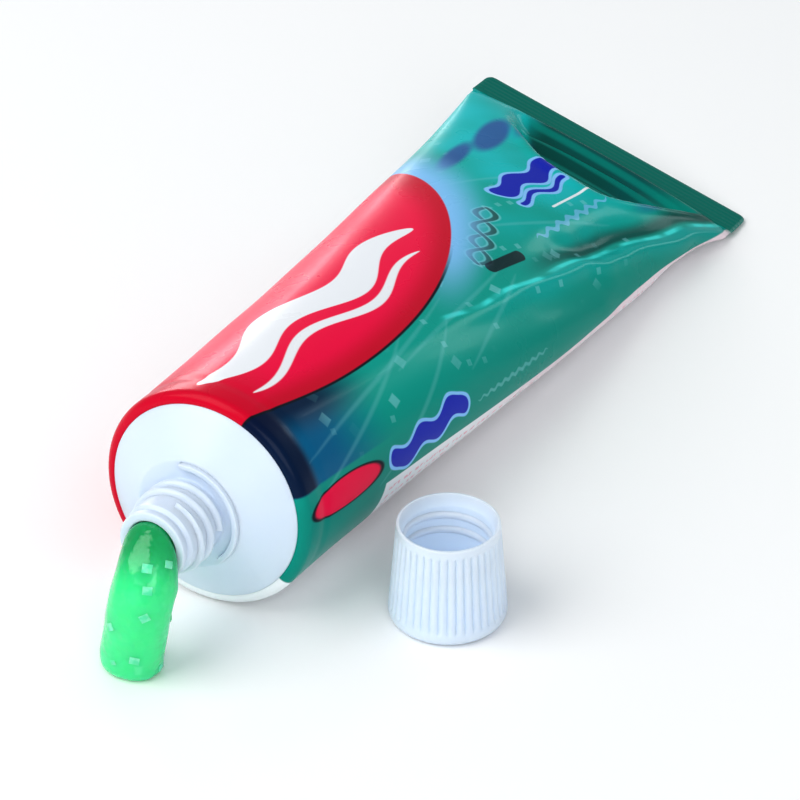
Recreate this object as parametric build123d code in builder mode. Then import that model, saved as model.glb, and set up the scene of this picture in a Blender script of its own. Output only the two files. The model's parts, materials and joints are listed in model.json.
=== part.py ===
from build123d import *
import os
from math import acos, asin, atan2, cos, degrees, hypot, pi, radians, sin, sqrt, tan

# An opened toothpaste tube, lying on its belly with its screw cap stood beside it and a ribbon of gel
# run out of the nozzle. Millimetres, Z up. The tube lies along Y with its nozzle towards -Y, and
# everything rests on Z = 0. The origin is the middle of the footprint of all four pieces.

# ---- sleeve: one sheet of laminate, round at the shoulder and crimped flat at the tail ----
sleeve_radius = 17.5
sleeve_length = 142.0  # from the front rim to the end of the tail
sleeve_wall = 0.35
curl_radius = 1.55  # the front edge is curled in round the shoulder
crimp_length = 6.8
crimp_margin = 0.3  # each side of the crimp is this much narrower than the flattened sleeve
crimp_taper = 0.8  # half thickness where the body runs into the crimp, in walls
crimp_lap = 0.3
tail_twist = -16.2  # turn of the crimp about the tube's axis, its +X end lower
taper = 0.645  # share of the half thickness lost in the straight taper
taper_ease = 0.02  # how gently the taper starts behind the skirt
close_power = 14.0  # how late the tail closes
close_root = 0.48  # how steeply it closes
belly_press = 0.4  # how far the belly is pressed flat where it lies on the floor
belly_seam = 0.004  # ... and elsewhere, where the flat is only a line
belly_from, belly_to = 0.16, 0.78  # stretch of the body that lies on the floor
skirt_lift = 0.05  # the stiff shoulder's height off the floor, in front of the belly
curl_step = 0.03  # the curled edge is drawn in this much, and laps the body
curl_lap = 0.5

# ---- head: shoulder, neck and thread moulded in one ----
bond_gap = 0.1  # between the sleeve and the shoulder moulded into it
shoulder_wall = 1.3
skirt_wall = 1.0
skirt_length = 3.0  # straight part behind the rounded corner
cone_height = 4.3  # from the rim plane to the flat round the neck
flat_margin = 0.2  # the flat round the neck is this much wider than the stop collar
neck_root_radius = 5.75
neck_crest_radius = 6.5
bore_radius = 4.0
mouth_height = 14.7  # mouth plane ahead of the rim plane
lip_radius = 5.45
lip_length = 1.0
lip_round = 0.3
groove_radius = 5.2  # shallow groove behind the lip
groove_length = 0.5
stop_reach = 2.0  # outer edge, beyond the thread, of the stop collar that the cap seats against
stop_width = 0.9
stop_height = 0.8
stop_start, stop_sweep = -48.0, 148.0  # degrees anticlockwise from +X, seen from the mouth
thread_pitch = 2.6
thread_turns = 2.2
thread_start = 1.2  # lower end of the thread above the flat
thread_root_width = 1.5
thread_crest_width = 0.6
thread_sink = 0.25  # how far the ridge's root is buried in the wall

# ---- gel: the contents and the ribbon, in one mass ----
gel_gap = 0.15
gel_end = 0.965  # share of the body's length that is full
ribbon_lap = 0.6  # it starts this far inside the mouth
ribbon_swell = 0.05  # ... and fills the bore this much more
ribbon_half_width = 4.9
ribbon_half_depth = 4.1
ribbon_reach = 4.9  # middle line ahead of the mouth where the ribbon hangs
ribbon_shift = 0.5  # ... and to the side
ribbon_bend_reach, ribbon_bend_shift, ribbon_bend_drop = 3.1, 1.1, 2.8  # half-way round its bend
ribbon_bend_half_width = 4.8
ribbon_hang_height = 10.3  # it hangs straight down from here
ribbon_foot_shift = -1.1
ribbon_foot_height = 2.4  # where its foot starts to round off
ribbon_foot_round = 0.5

# ---- cap: stands on its closed end, mouth up ----
cap_beside = 33.2  # cap's axis from the tube's axis
cap_behind = 15.2  # ... and behind the rim's lowest point
cap_height = 16.5
cap_wall = 1.0  # at its mouth
cap_flare = 1.37  # how much wider its base is than its mouth
cap_base_round = 1.6
cap_mouth_round = 0.45
cap_lip = 1.3  # plain band at the mouth
cap_foot = 2.2  # plain band above the base
flute_count = 40
flute_radius = 0.42
socket_clearance = 0.2  # cap's bore over the neck's crest
recess_radius = 3.8
recess_length = 4.2  # below the socket, round the nozzle's lip
cap_floor = 1.9
cap_thread_turns = 1.75
cap_thread_lead = 2.4  # plain stretch of bore inside the mouth

# ---- where the tube's axis lies: the shoulder's skirt and the crimp's low corner on the floor ----
body_length = sleeve_length - crimp_length
crimp_half_width = pi * sleeve_radius / 2 - crimp_margin
crimp_drop = crimp_half_width * sin(radians(-tail_twist))
crimp_half_thickness = sleeve_wall * cos(radians(tail_twist))
corner_rise = sleeve_radius - crimp_drop
rigid_length = curl_radius + skirt_length
tail_reach = sleeve_length - rigid_length
corner_lift = crimp_half_thickness - skirt_lift
slope = atan2(corner_rise, tail_reach) - asin(corner_lift / hypot(corner_rise, tail_reach))
tailward = Vector(0, cos(slope), -sin(slope))
upward = Vector(0, sin(slope), cos(slope))
sideward = Vector(1, 0, 0)
rim_centre = upward * sleeve_radius + Vector(0, 0, rigid_length * sin(slope) + skirt_lift)
mouth_centre = rim_centre - tailward * mouth_height
tube_axis = Axis(rim_centre, -tailward)
# in the profile plane X is the radius and Y runs towards the mouth, from the rim plane
profile_plane = Plane(origin=rim_centre, x_dir=sideward, z_dir=-upward)
neck_plane = Plane(origin=rim_centre - tailward * cone_height, x_dir=sideward, z_dir=-tailward)
cap_plane = Plane(origin=(cap_beside, cap_behind, 0))
cap_profile_plane = Plane(origin=(cap_beside, cap_behind, 0), x_dir=(1, 0, 0), z_dir=(0, -1, 0))

# ---- what fits what ----
curl_centre = sleeve_radius - curl_radius
skirt_radius = sleeve_radius - sleeve_wall - bond_gap
skirt_bore = skirt_radius - skirt_wall
skirt_end = -rigid_length
cone_edge = curl_centre - bond_gap
stop_radius = neck_crest_radius + stop_reach
flat_radius = stop_radius + flat_margin
cone_angle = atan2(cone_height, cone_edge - flat_radius)
socket_radius = neck_crest_radius + socket_clearance
cap_mouth_radius = socket_radius + cap_wall
cap_base_radius = cap_mouth_radius + cap_flare
socket_crest_radius = neck_root_radius + socket_clearance
socket_foot = cap_floor + recess_length
curl_end = (curl_radius + curl_lap) / body_length
rigid_end = rigid_length / body_length
# close together where the tail closes
stations = [0.055, 0.1, 0.2, 0.32, 0.46, 0.6, 0.72, 0.82, 0.89, 0.94, 0.975, 0.993]


def flattened_half_width(half_thickness):
    """Half width of an ellipse of that half thickness with the round sleeve's girth."""
    low, high = sleeve_radius, 1.6 * sleeve_radius
    for _ in range(40):
        middle = (low + high) / 2
        root = sqrt((3 * middle + half_thickness) * (middle + 3 * half_thickness))
        if 3 * (middle + half_thickness) - root > 2 * sleeve_radius:
            high = middle
        else:
            low = middle
    return (low + high) / 2


def smooth_step(value, start, end):
    """0 before start, 1 after end, with a smooth change between them."""
    share = min(max((value - start) / (end - start), 0), 1)
    return share * share * (3 - 2 * share)


def section_sizes(share):
    """Half width, upper and lower half thickness and pressed depth at a share of the body's length."""
    along = max(share - rigid_end, 0) / (1 - rigid_end)
    eased = along**2 / (along + taper_ease)
    rise = sleeve_radius * (1 - taper * eased) * (1 - along**close_power) ** close_root
    rise = max(rise, sleeve_wall * crimp_taper)
    half_width = min(flattened_half_width(rise), crimp_half_width - crimp_margin)
    twist = radians(tail_twist * share)
    lying = smooth_step(share, 0.03, belly_from) * (1 - smooth_step(share, belly_to, 0.96))
    press = belly_seam + (belly_press - belly_seam) * lying
    reach = (rim_centre + tailward * (share * body_length)).Z / cos(slope) + press
    touching = sqrt(max(reach**2 - (half_width * sin(twist)) ** 2, rise**2)) / cos(twist)
    return half_width, rise, rise + lying * max(touching - rise, 0), press


def body_section(share, inset):
    """The sleeve's outline at a share of the body's length, drawn in by inset and flat underneath."""
    half_width, rise, sag, press = section_sizes(share)
    half_width, rise, sag = half_width - inset, rise - inset, sag - inset
    angle = tail_twist * share
    across, down = half_width * sin(radians(angle)), sag * cos(radians(angle))
    lowest = degrees(atan2(-down, -across)) % 360
    spread = degrees(acos(1 - press / hypot(across, down)))
    centre = rim_centre + tailward * (share * body_length)
    with BuildSketch(Plane(origin=centre, x_dir=sideward, z_dir=-tailward)) as section:
        with BuildLine():
            top = {"start_angle": 0, "arc_size": 180}
            left = {"start_angle": 180, "arc_size": lowest - spread - 180}
            right = {"start_angle": lowest + spread, "arc_size": 360 - lowest - spread}
            EllipticalCenterArc((0, 0), half_width, rise, rotation=angle, **top)
            left_arc = EllipticalCenterArc((0, 0), half_width, sag, rotation=angle, **left)
            right_arc = EllipticalCenterArc((0, 0), half_width, sag, rotation=angle, **right)
            Line(left_arc @ 1, right_arc @ 0)
        make_face()
    return section.sketch


def shoulder_inside(wall):
    """Inside of the shoulder and neck at a wall's depth, as points from the flat to the skirt."""
    flat_height = cone_height - wall
    slant = wall / cos(cone_angle)
    flat_edge = cone_edge - (flat_height + slant) / tan(cone_angle)
    skirt_inside = skirt_bore - (wall - shoulder_wall)
    skirt_top = (cone_edge - skirt_inside) * tan(cone_angle) - slant
    return [(flat_edge, flat_height), (skirt_inside, skirt_top)]


def thread_ridge(root_radius, crest_radius, turns):
    """A helical ridge about Z from a root on a wall to its crest, its lower end at Z = 0."""
    with BuildLine() as path:
        Helix(pitch=thread_pitch, height=thread_pitch * turns, radius=root_radius)
    buried = thread_sink if crest_radius < root_radius else -thread_sink
    crest = crest_radius - root_radius
    with BuildPart() as ridge:
        with BuildSketch(Plane(path.line @ 0, x_dir=(1, 0, 0), z_dir=path.line % 0)):
            with BuildLine():
                Polyline(
                    (buried, -thread_root_width / 2),
                    (crest, -thread_crest_width / 2),
                    (crest, thread_crest_width / 2),
                    (buried, thread_root_width / 2),
                    close=True,
                )
            make_face()
        sweep(path=path.line, is_frenet=True)
    return ridge.part


def ribbon_section(shift, reach, height, drop_angle, half_width, half_depth):
    """An outline across the ribbon where it runs drop_angle below level."""
    centre = Vector(mouth_centre.X + shift, mouth_centre.Y - reach, height)
    along = Vector(0, -1, 0).rotate(Axis.X, drop_angle)
    with BuildSketch(Plane(origin=centre, x_dir=sideward, z_dir=along)) as section:
        Ellipse(half_width, half_depth)
    return section.sketch


def curl_form(inset, opening):
    """The sleeve's curled front as a solid, drawn in by inset, with an opening ahead of it."""
    arc_radius = curl_radius - curl_step - inset
    edge = curl_centre + arc_radius
    front = arc_radius - curl_radius
    with BuildPart() as form:
        with BuildSketch(profile_plane):
            with BuildLine():
                if opening:
                    Line((curl_centre, front + opening), (curl_centre, front))
                CenterArc((curl_centre, -curl_radius), arc_radius, 0, 90)
                Polyline(
                    (edge, -curl_radius),
                    (edge, -curl_radius - 2 * curl_lap),
                    (0, -curl_radius - 2 * curl_lap),
                    (0, front + opening),
                    (curl_centre, front + opening),
                )
            make_face()
        revolve(axis=tube_axis)
    return form.part


# ---- sleeve ----
with BuildPart() as cavity:
    loft([body_section(share, sleeve_wall) for share in (curl_end, rigid_end, *stations)])
    add(curl_form(sleeve_wall, curl_radius))

with BuildPart() as sleeve:
    loft([body_section(share, 0) for share in (curl_end, rigid_end, *stations)])
    loft([body_section(stations[-1], 0), body_section(1, 0)], ruled=True)
    crimp_reach = crimp_length + crimp_lap
    crimp_centre = rim_centre + tailward * (sleeve_length - crimp_reach / 2)
    crimp_across = sideward * cos(radians(tail_twist)) + upward * sin(radians(tail_twist))
    with BuildSketch(Plane(origin=crimp_centre, x_dir=crimp_across, z_dir=-tailward)):
        Rectangle(2 * crimp_half_width, 2 * sleeve_wall)
    extrude(amount=crimp_reach / 2, both=True)
    add(curl_form(0, 0))
    add(cavity.part, mode=Mode.SUBTRACT)

# ---- head ----
with BuildPart() as head:
    groove_top = mouth_height - lip_length
    with BuildSketch(profile_plane):
        with BuildLine():
            Line((skirt_radius, skirt_end), (skirt_radius, -curl_radius))
            CenterArc((curl_centre, -curl_radius), skirt_radius - curl_centre, 0, 90)
            Polyline(
                (curl_centre, skirt_radius - curl_centre - curl_radius),
                (cone_edge, skirt_radius - curl_centre - curl_radius),
                (cone_edge, 0),
                (flat_radius, cone_height),
                (neck_root_radius, cone_height),
                (neck_root_radius, groove_top - 2 * groove_length),
                (groove_radius, groove_top - groove_length),
                (groove_radius, groove_top),
                (lip_radius, groove_top),
                (lip_radius, mouth_height),
                (bore_radius, mouth_height),
                (bore_radius, cone_height - shoulder_wall),
                *shoulder_inside(shoulder_wall),
                (skirt_bore, skirt_end),
                (skirt_radius, skirt_end),
            )
        make_face()
    revolve(axis=tube_axis)
    mouth_edges = head.edges().filter_by(GeomType.CIRCLE).group_by(Axis(mouth_centre, -tailward))[-1]
    fillet(mouth_edges, lip_round)
    with BuildSketch(neck_plane):
        with BuildLine():
            CenterArc((0, 0), stop_radius, stop_start, stop_sweep)
            CenterArc((0, 0), stop_radius - stop_width, stop_start, stop_sweep)
            for end in (stop_start, stop_start + stop_sweep):
                Line(
                    PolarLine((0, 0), stop_radius, end, mode=Mode.PRIVATE) @ 1,
                    PolarLine((0, 0), stop_radius - stop_width, end, mode=Mode.PRIVATE) @ 1,
                )
        make_face()
    extrude(amount=stop_height)
    neck_ridge = thread_ridge(neck_root_radius, neck_crest_radius, thread_turns)
    add(neck_ridge.moved(neck_plane.offset(thread_start).location))

# ---- gel ----
gel_start = rigid_end + gel_gap / body_length
gel_stations = [gel_start, *(share for share in stations if share < gel_end), gel_end]
bore_fill = bore_radius - gel_gap
start_radius = bore_fill + ribbon_swell
start_angle = -degrees(slope)
start_height = mouth_centre.Z - ribbon_lap * tan(slope)
bend_height = mouth_centre.Z - ribbon_bend_drop
bend_halves = (ribbon_bend_half_width, ribbon_half_depth)
ribbon_halves = (ribbon_half_width, ribbon_half_depth)
foot_halves = (ribbon_half_width - ribbon_foot_round, ribbon_half_depth - ribbon_foot_round)
with BuildPart() as ribbon:
    loft(
        [
            ribbon_section(0, -ribbon_lap, start_height, start_angle, start_radius, start_radius),
            ribbon_section(0, 0, mouth_centre.Z, start_angle, start_radius, start_radius),
            ribbon_section(ribbon_bend_shift, ribbon_bend_reach, bend_height, 45, *bend_halves),
            ribbon_section(ribbon_shift, ribbon_reach, ribbon_hang_height, 90, *ribbon_halves),
            ribbon_section(ribbon_foot_shift, ribbon_reach, ribbon_foot_height, 90, *ribbon_halves),
            ribbon_section(ribbon_foot_shift, ribbon_reach, 0, 90, *foot_halves),
        ]
    )

with BuildPart() as gel:
    loft([body_section(share, sleeve_wall + gel_gap) for share in gel_stations])
    with BuildSketch(profile_plane):
        with BuildLine():
            Polyline(
                (0, mouth_height - ribbon_lap / 2),
                (bore_fill, mouth_height - ribbon_lap / 2),
                (bore_fill, cone_height - shoulder_wall - gel_gap),
                *shoulder_inside(shoulder_wall + gel_gap),
                (skirt_bore - gel_gap, skirt_end - skirt_length),
                (0, skirt_end - skirt_length),
                close=True,
            )
        make_face()
    revolve(axis=tube_axis)
    add(ribbon.part)

# ---- cap ----
with BuildPart() as flute:
    foot_radius = cap_base_radius + (cap_mouth_radius - cap_base_radius) * cap_foot / cap_height
    lip_radius_there = cap_mouth_radius + (cap_base_radius - cap_mouth_radius) * cap_lip / cap_height
    with BuildLine() as flute_line:
        Line((foot_radius, 0, cap_foot), (lip_radius_there, 0, cap_height - cap_lip))
    with BuildSketch(Plane(flute_line.line @ 0, z_dir=flute_line.line % 0)):
        Circle(flute_radius)
    sweep(path=flute_line.line)

with BuildPart(cap_plane) as cap:
    with BuildSketch(cap_profile_plane):
        with BuildLine():
            FilletPolyline(
                (0, 0),
                (cap_base_radius, 0),
                (cap_mouth_radius, cap_height),
                (socket_radius, cap_height),
                (socket_radius, socket_foot),
                (recess_radius, socket_foot),
                (recess_radius, cap_floor),
                (0, cap_floor),
                radius=[0, cap_base_round, cap_mouth_round, cap_mouth_round / 2, 0, 0, 0, 0],
                close=True,
            )
        make_face()
    revolve(axis=Axis(cap_plane.origin, (0, 0, 1)))
    with PolarLocations(0, flute_count):
        add(flute.part, mode=Mode.SUBTRACT)
    thread_foot = cap_height - cap_thread_lead - thread_pitch * cap_thread_turns
    cap_ridge = thread_ridge(socket_radius, socket_crest_radius, cap_thread_turns)
    add(cap_ridge.moved(Location((0, 0, thread_foot))))

# ---- labels and files, with the origin at the middle of the footprint ----
sleeve.part.label = "sleeve"
head.part.label = "head"
gel.part.label = "gel"
cap.part.label = "cap"
pieces = [sleeve.part, head.part, gel.part, cap.part]
footprint = Compound(children=[piece.moved(Location()) for piece in pieces]).bounding_box().center()
os.makedirs("parts", exist_ok=True)
for piece in pieces:
    export_step(piece.moved(Location((-footprint.X, -footprint.Y, 0))), f"parts/{piece.label}.step")
    print(piece.label, len(piece.solids()), round(piece.volume), piece.is_valid)
print("footprint centre", footprint.X, footprint.Y, "slope", slope)
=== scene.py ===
"""An opened toothpaste tube with gel run out of its nozzle and its screw cap stood beside it.

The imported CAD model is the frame. Sizes below are in millimetres along the tube, as the pack maker
gives them, and every mesh is in metres in the frame's axes.
"""

import json
import logging
import math
from collections.abc import Iterable, Sequence
from dataclasses import dataclass, field
from enum import Enum

import bmesh
import bpy
from mathutils import Matrix, Quaternion, Vector, noise


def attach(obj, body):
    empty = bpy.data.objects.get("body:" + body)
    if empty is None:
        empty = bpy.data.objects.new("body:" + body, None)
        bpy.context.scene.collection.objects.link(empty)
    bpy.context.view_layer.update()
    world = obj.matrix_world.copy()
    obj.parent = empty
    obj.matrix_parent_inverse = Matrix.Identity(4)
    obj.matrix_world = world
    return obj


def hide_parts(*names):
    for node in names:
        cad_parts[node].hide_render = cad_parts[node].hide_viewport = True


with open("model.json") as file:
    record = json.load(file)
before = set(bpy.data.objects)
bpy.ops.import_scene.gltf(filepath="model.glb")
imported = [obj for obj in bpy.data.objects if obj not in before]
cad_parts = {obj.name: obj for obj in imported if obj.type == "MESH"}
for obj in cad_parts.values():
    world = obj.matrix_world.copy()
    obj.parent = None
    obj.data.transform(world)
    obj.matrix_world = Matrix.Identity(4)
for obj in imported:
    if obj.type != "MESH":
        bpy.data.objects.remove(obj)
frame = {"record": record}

LOG = logging.getLogger("tube_scene")
MM = 0.001
DISPLAY_EXPOSURE = 0.06
DISPLAY_GAMMA = 0.80
Ring = list[Vector]
Socket = bpy.types.NodeSocket
Colour = tuple[float, float, float]
Pair = tuple[float, float]


# ---------------------------------------------------------------- small helpers


def smooth_step(value: float, start: float, end: float) -> float:
    """Change smoothly from 0 at start to 1 at end.

    Args:
        value: Where to read the change.
        start: Value at which it is 0.
        end: Value at which it is 1.

    Returns:
        A share from 0 to 1.
    """
    share = min(max((value - start) / (end - start), 0.0), 1.0)
    return share * share * (3 - 2 * share)


def bell(distance: float, width: float) -> float:
    """Give a soft bump that is 1 at no distance and about 0 beyond two widths."""
    return math.exp(-((distance / width) ** 2))


def along_table(value: float, stops: Sequence[tuple[float, float]]) -> float:
    """Read a value between named stops with smooth changes.

    Args:
        value: Where to read.
        stops: Pairs of place and value, in rising order of place.

    Returns:
        The value there.
    """
    if value <= stops[0][0]:
        return stops[0][1]
    for (low, first), (high, second) in zip(stops, stops[1:]):
        if value <= high:
            return first + (second - first) * smooth_step(value, low, high)
    return stops[-1][1]


def rounded_path(corners: Sequence[tuple[float, float, float]], steps: int = 6) -> list[tuple[float, float]]:
    """Round the corners of an open path.

    Args:
        corners: Each corner's radius from the axis, height and rounding.
        steps: Pieces in each rounding.

    Returns:
        The points of the rounded path.
    """
    points: list[tuple[float, float]] = []
    for index, (radius, height, rounding) in enumerate(corners):
        here = Vector((radius, height))
        if rounding == 0 or index in (0, len(corners) - 1):
            points.append((here.x, here.y))
            continue
        before = (Vector(corners[index - 1][:2]) - here).normalized()
        after = (Vector(corners[index + 1][:2]) - here).normalized()
        reach = rounding / math.tan(before.angle(after) / 2)
        for step in range(steps + 1):
            share = step / steps
            first = here + before * reach * (1 - share)
            second = here + after * reach * share
            point = first.lerp(second, share)
            points.append((point.x, point.y))
    return points


class RingMesh:
    """A mesh drawn out ring by ring from a first circle."""

    def __init__(self, segments: int) -> None:
        """Start with an empty mesh whose rings have this many segments.

        Args:
            segments: How many points each ring has.
        """
        self.bm = bmesh.new()
        self.segments = segments
        self.ring: list[bmesh.types.BMVert] = []
        self.rows: dict[bmesh.types.BMVert, tuple[int, float]] = {}

    def start(self, places: Ring, row: float = 0.0) -> None:
        """Make the first ring.

        Args:
            places: Its points, in order.
            row: How far along the piece it is, for the print.
        """
        made = bmesh.ops.create_circle(self.bm, segments=self.segments, radius=1.0)
        self.ring = made["verts"]
        self._place(places, row)

    def add(self, places: Ring, row: float = 0.0) -> None:
        """Extrude the last ring to the next one.

        Args:
            places: Its points, in order.
            row: How far along the piece it is, for the print.
        """
        pairs = zip(self.ring, self.ring[1:] + self.ring[:1])
        edges = [self.bm.edges.get(pair) for pair in pairs]
        made = bmesh.ops.extrude_edge_only(self.bm, edges=edges)
        new = {item for item in made["geom"] if isinstance(item, bmesh.types.BMVert)}
        self.ring = [self._partner(vert, new) for vert in self.ring]
        self._place(places, row)

    def _partner(self, vert: bmesh.types.BMVert, new: set[bmesh.types.BMVert]) -> bmesh.types.BMVert:
        """Find the new point that was extruded from an old one."""
        return next(edge.other_vert(vert) for edge in vert.link_edges if edge.other_vert(vert) in new)

    def _place(self, places: Ring, row: float) -> None:
        """Move the newest ring to its places and note its print position.

        Args:
            places: The ring's points, in order.
            row: How far along the piece it is, for the print.
        """
        for index, (vert, place) in enumerate(zip(self.ring, places)):
            vert.co = place
            self.rows[vert] = (index, row)

    def close(self) -> None:
        """Close the last ring with one face."""
        pairs = zip(self.ring, self.ring[1:] + self.ring[:1])
        edges = [self.bm.edges.get(pair) for pair in pairs]
        bmesh.ops.contextual_create(self.bm, geom=edges)

    def write_uv(self, name: str, length: float) -> None:
        """Give every face the share of the girth and of the length that it lies at.

        Args:
            name: The map's name.
            length: The length that the rows are measured against.
        """
        layer = self.bm.loops.layers.uv.new(name)
        for face in self.bm.faces:
            known = [self.rows.get(loop.vert) for loop in face.loops]
            if None in known:
                continue
            wraps = max(item[0] for item in known) - min(item[0] for item in known) > self.segments / 2
            for loop, (index, row) in zip(face.loops, known):
                column = index + self.segments if wraps and index < self.segments / 2 else index
                loop[layer].uv = (column / self.segments, row / length)


def finish_mesh(bm: bmesh.types.BMesh, name: str, sharp_degrees: float = 40.0) -> bpy.types.Object:
    """Turn a bmesh into a smooth-shaded object at the origin.

    Args:
        bm: The mesh, which is freed.
        name: The object's name.
        sharp_degrees: Edges that turn more than this stay sharp.

    Returns:
        The new object.
    """
    bmesh.ops.remove_doubles(bm, verts=bm.verts, dist=1e-7)
    bmesh.ops.recalc_face_normals(bm, faces=bm.faces)
    for face in bm.faces:
        face.smooth = True
    for edge in bm.edges:
        edge.smooth = not edge.is_manifold or edge.calc_face_angle(0.0) < math.radians(sharp_degrees)
    mesh = bpy.data.meshes.new(name)
    bm.to_mesh(mesh)
    bm.free()
    made = bpy.data.objects.new(name, mesh)
    bpy.context.scene.collection.objects.link(made)
    return made


def fade_ridge(
    verts: Iterable[bmesh.types.BMVert], foot: Vector, axis: Vector, pitch: float, turns: float, base: float
) -> None:
    """Let a helical ridge sink into its wall at both ends.

    Args:
        verts: The ridge's points.
        foot: Point on the axis level with the ridge's start, in millimetres.
        axis: Direction in which the ridge climbs.
        pitch: Its climb in one turn, in millimetres.
        turns: How many turns it has.
        base: The wall's radius, in millimetres.
    """
    fade = math.radians(34.0)
    for vert in verts:
        local = vert.co / MM - foot
        climb = local.dot(axis)
        radial = local - axis * climb
        turned = climb / pitch * math.tau
        end = min(turned + 0.3, math.tau * turns - turned + 0.3) / fade
        reach = base + (radial.length - base) * smooth_step(end, 0.0, 1.0)
        vert.co = (foot + axis * climb + radial.normalized() * reach) * MM


# ---------------------------------------------------------------- finishes


class NodeSheet:
    """A material's nodes, with short calls for the ones that the finishes use."""

    def __init__(self, name: str) -> None:
        """Start a material with only a surface shader.

        Args:
            name: The material's name.
        """
        self.material = bpy.data.materials.new(name)
        self.material.use_nodes = True
        self.tree = self.material.node_tree
        self.shader = self.tree.nodes["Principled BSDF"]

    def node(self, kind: str, **settings: object) -> bpy.types.Node:
        """Add a node.

        Args:
            kind: The node's type name.
            **settings: Its properties.

        Returns:
            The node.
        """
        made = self.tree.nodes.new(kind)
        for key, value in settings.items():
            setattr(made, key, value)
        return made

    def feed(self, target: Socket, source: Socket | float | Colour | Sequence[float]) -> None:
        """Link a socket to a source, or set it to a constant.

        Args:
            target: The socket to feed.
            source: What it is fed from.
        """
        if isinstance(source, bpy.types.NodeSocket):
            self.tree.links.new(source, target)
        elif target.type == "RGBA":
            target.default_value = (*source[:3], 1.0)
        else:
            target.default_value = source

    def set(self, **values: object) -> None:
        """Set or link the surface shader's sockets, named with _ for a space."""
        for key, value in values.items():
            self.feed(self.shader.inputs[key.replace("_", " ")], value)

    def math(self, operation: str, first: Socket | float, second: Socket | float = 0.0) -> Socket:
        """Work out one sum.

        Args:
            operation: The Math node's operation.
            first: Its first value.
            second: Its second value.

        Returns:
            The result.
        """
        made = self.node("ShaderNodeMath", operation=operation)
        self.feed(made.inputs[0], first)
        self.feed(made.inputs[1], second)
        return made.outputs[0]

    def ramp(self, value: Socket, start: float, end: float) -> Socket:
        """Change smoothly from 0 where value is start to 1 where it is end.

        Args:
            value: What is read.
            start: Where it gives 0.
            end: Where it gives 1.

        Returns:
            The share.
        """
        made = self.node("ShaderNodeMapRange", interpolation_type="SMOOTHSTEP")
        rising = end > start
        self.feed(made.inputs["Value"], value)
        self.feed(made.inputs["From Min"], start if rising else end)
        self.feed(made.inputs["From Max"], end if rising else start)
        self.feed(made.inputs["To Min"], 0.0 if rising else 1.0)
        self.feed(made.inputs["To Max"], 1.0 if rising else 0.0)
        return made.outputs[0]

    def both(self, *masks: Socket | float) -> Socket:
        """Multiply masks.

        Args:
            *masks: The masks.

        Returns:
            Their product.
        """
        result = masks[0]
        for mask in masks[1:]:
            result = self.math("MULTIPLY", result, mask)
        return result

    def mix(self, share: Socket | float, under: Socket | Colour, over: Socket | Colour) -> Socket:
        """Lay one colour over another.

        Args:
            share: How much the upper colour covers.
            under: The colour below.
            over: The colour above.

        Returns:
            The mixed colour.
        """
        made = self.node("ShaderNodeMix", data_type="RGBA")
        self.feed(made.inputs[0], share)
        self.feed(made.inputs[6], under)
        self.feed(made.inputs[7], over)
        return made.outputs[2]

    def noise(self, place: Socket, scale: float, detail: float = 2.0) -> Socket:
        """Read soft noise, from about 0.3 to 0.7, at a place.

        Args:
            place: The place.
            scale: How fine the noise is.
            detail: How many finer layers it has.

        Returns:
            The noise.
        """
        made = self.node("ShaderNodeTexNoise")
        self.feed(made.inputs["Vector"], place)
        made.inputs["Scale"].default_value = scale
        made.inputs["Detail"].default_value = detail
        return made.outputs["Fac"]

    def combine(self, across: Socket | float, along: Socket | float, depth: Socket | float = 0.0) -> Socket:
        """Join three numbers to a place.

        Args:
            across: The first number.
            along: The second number.
            depth: The third number.

        Returns:
            The place.
        """
        made = self.node("ShaderNodeCombineXYZ")
        for target, source in zip(made.inputs, (across, along, depth)):
            self.feed(target, source)
        return made.outputs[0]

    def object_place(self) -> Socket:
        """Give the object's own coordinates, in metres."""
        return self.node("ShaderNodeTexCoord").outputs["Object"]

    def bump(self, height: Socket, strength: float, distance: float) -> None:
        """Raise the surface's shading by a height.

        Args:
            height: The height, as a share.
            strength: The bump's strength.
            distance: The height of a share of 1, in metres.
        """
        made = self.node("ShaderNodeBump")
        made.inputs["Strength"].default_value = strength
        made.inputs["Distance"].default_value = distance
        self.feed(made.inputs["Height"], height)
        self.feed(self.shader.inputs["Normal"], made.outputs[0])


class InkAndPaintedLight(Enum):
    """The print's colours, and the colours of the painted shade and painted highlights on it, as linear
    light.
    """

    TEAL = (0.000, 0.390, 0.320)
    AQUA = (0.010, 0.560, 0.580)
    DEEP_TEAL = (0.000, 0.190, 0.150)
    # dark teal is printed, and is also used for painted shade in the tail's hollows
    DARK_TEAL = (0.000, 0.050, 0.042)
    NAVY = (0.001, 0.010, 0.050)
    OCEAN = (0.001, 0.150, 0.300)
    RED = (0.900, 0.002, 0.080)
    CRIMSON = (0.560, 0.001, 0.020)
    WHITE = (0.880, 0.900, 0.930)
    PINK = (0.880, 0.420, 0.500)
    GLOW = (0.290, 0.600, 0.950)
    BLUE = (0.012, 0.030, 0.480)
    VIOLET = (0.040, 0.090, 0.360)
    PALE = (0.300, 0.720, 0.760)
    # painted highlight: the glint along the ridge
    GLINT = (0.080, 0.820, 0.780)
    INKY = (0.004, 0.010, 0.022)


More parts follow.
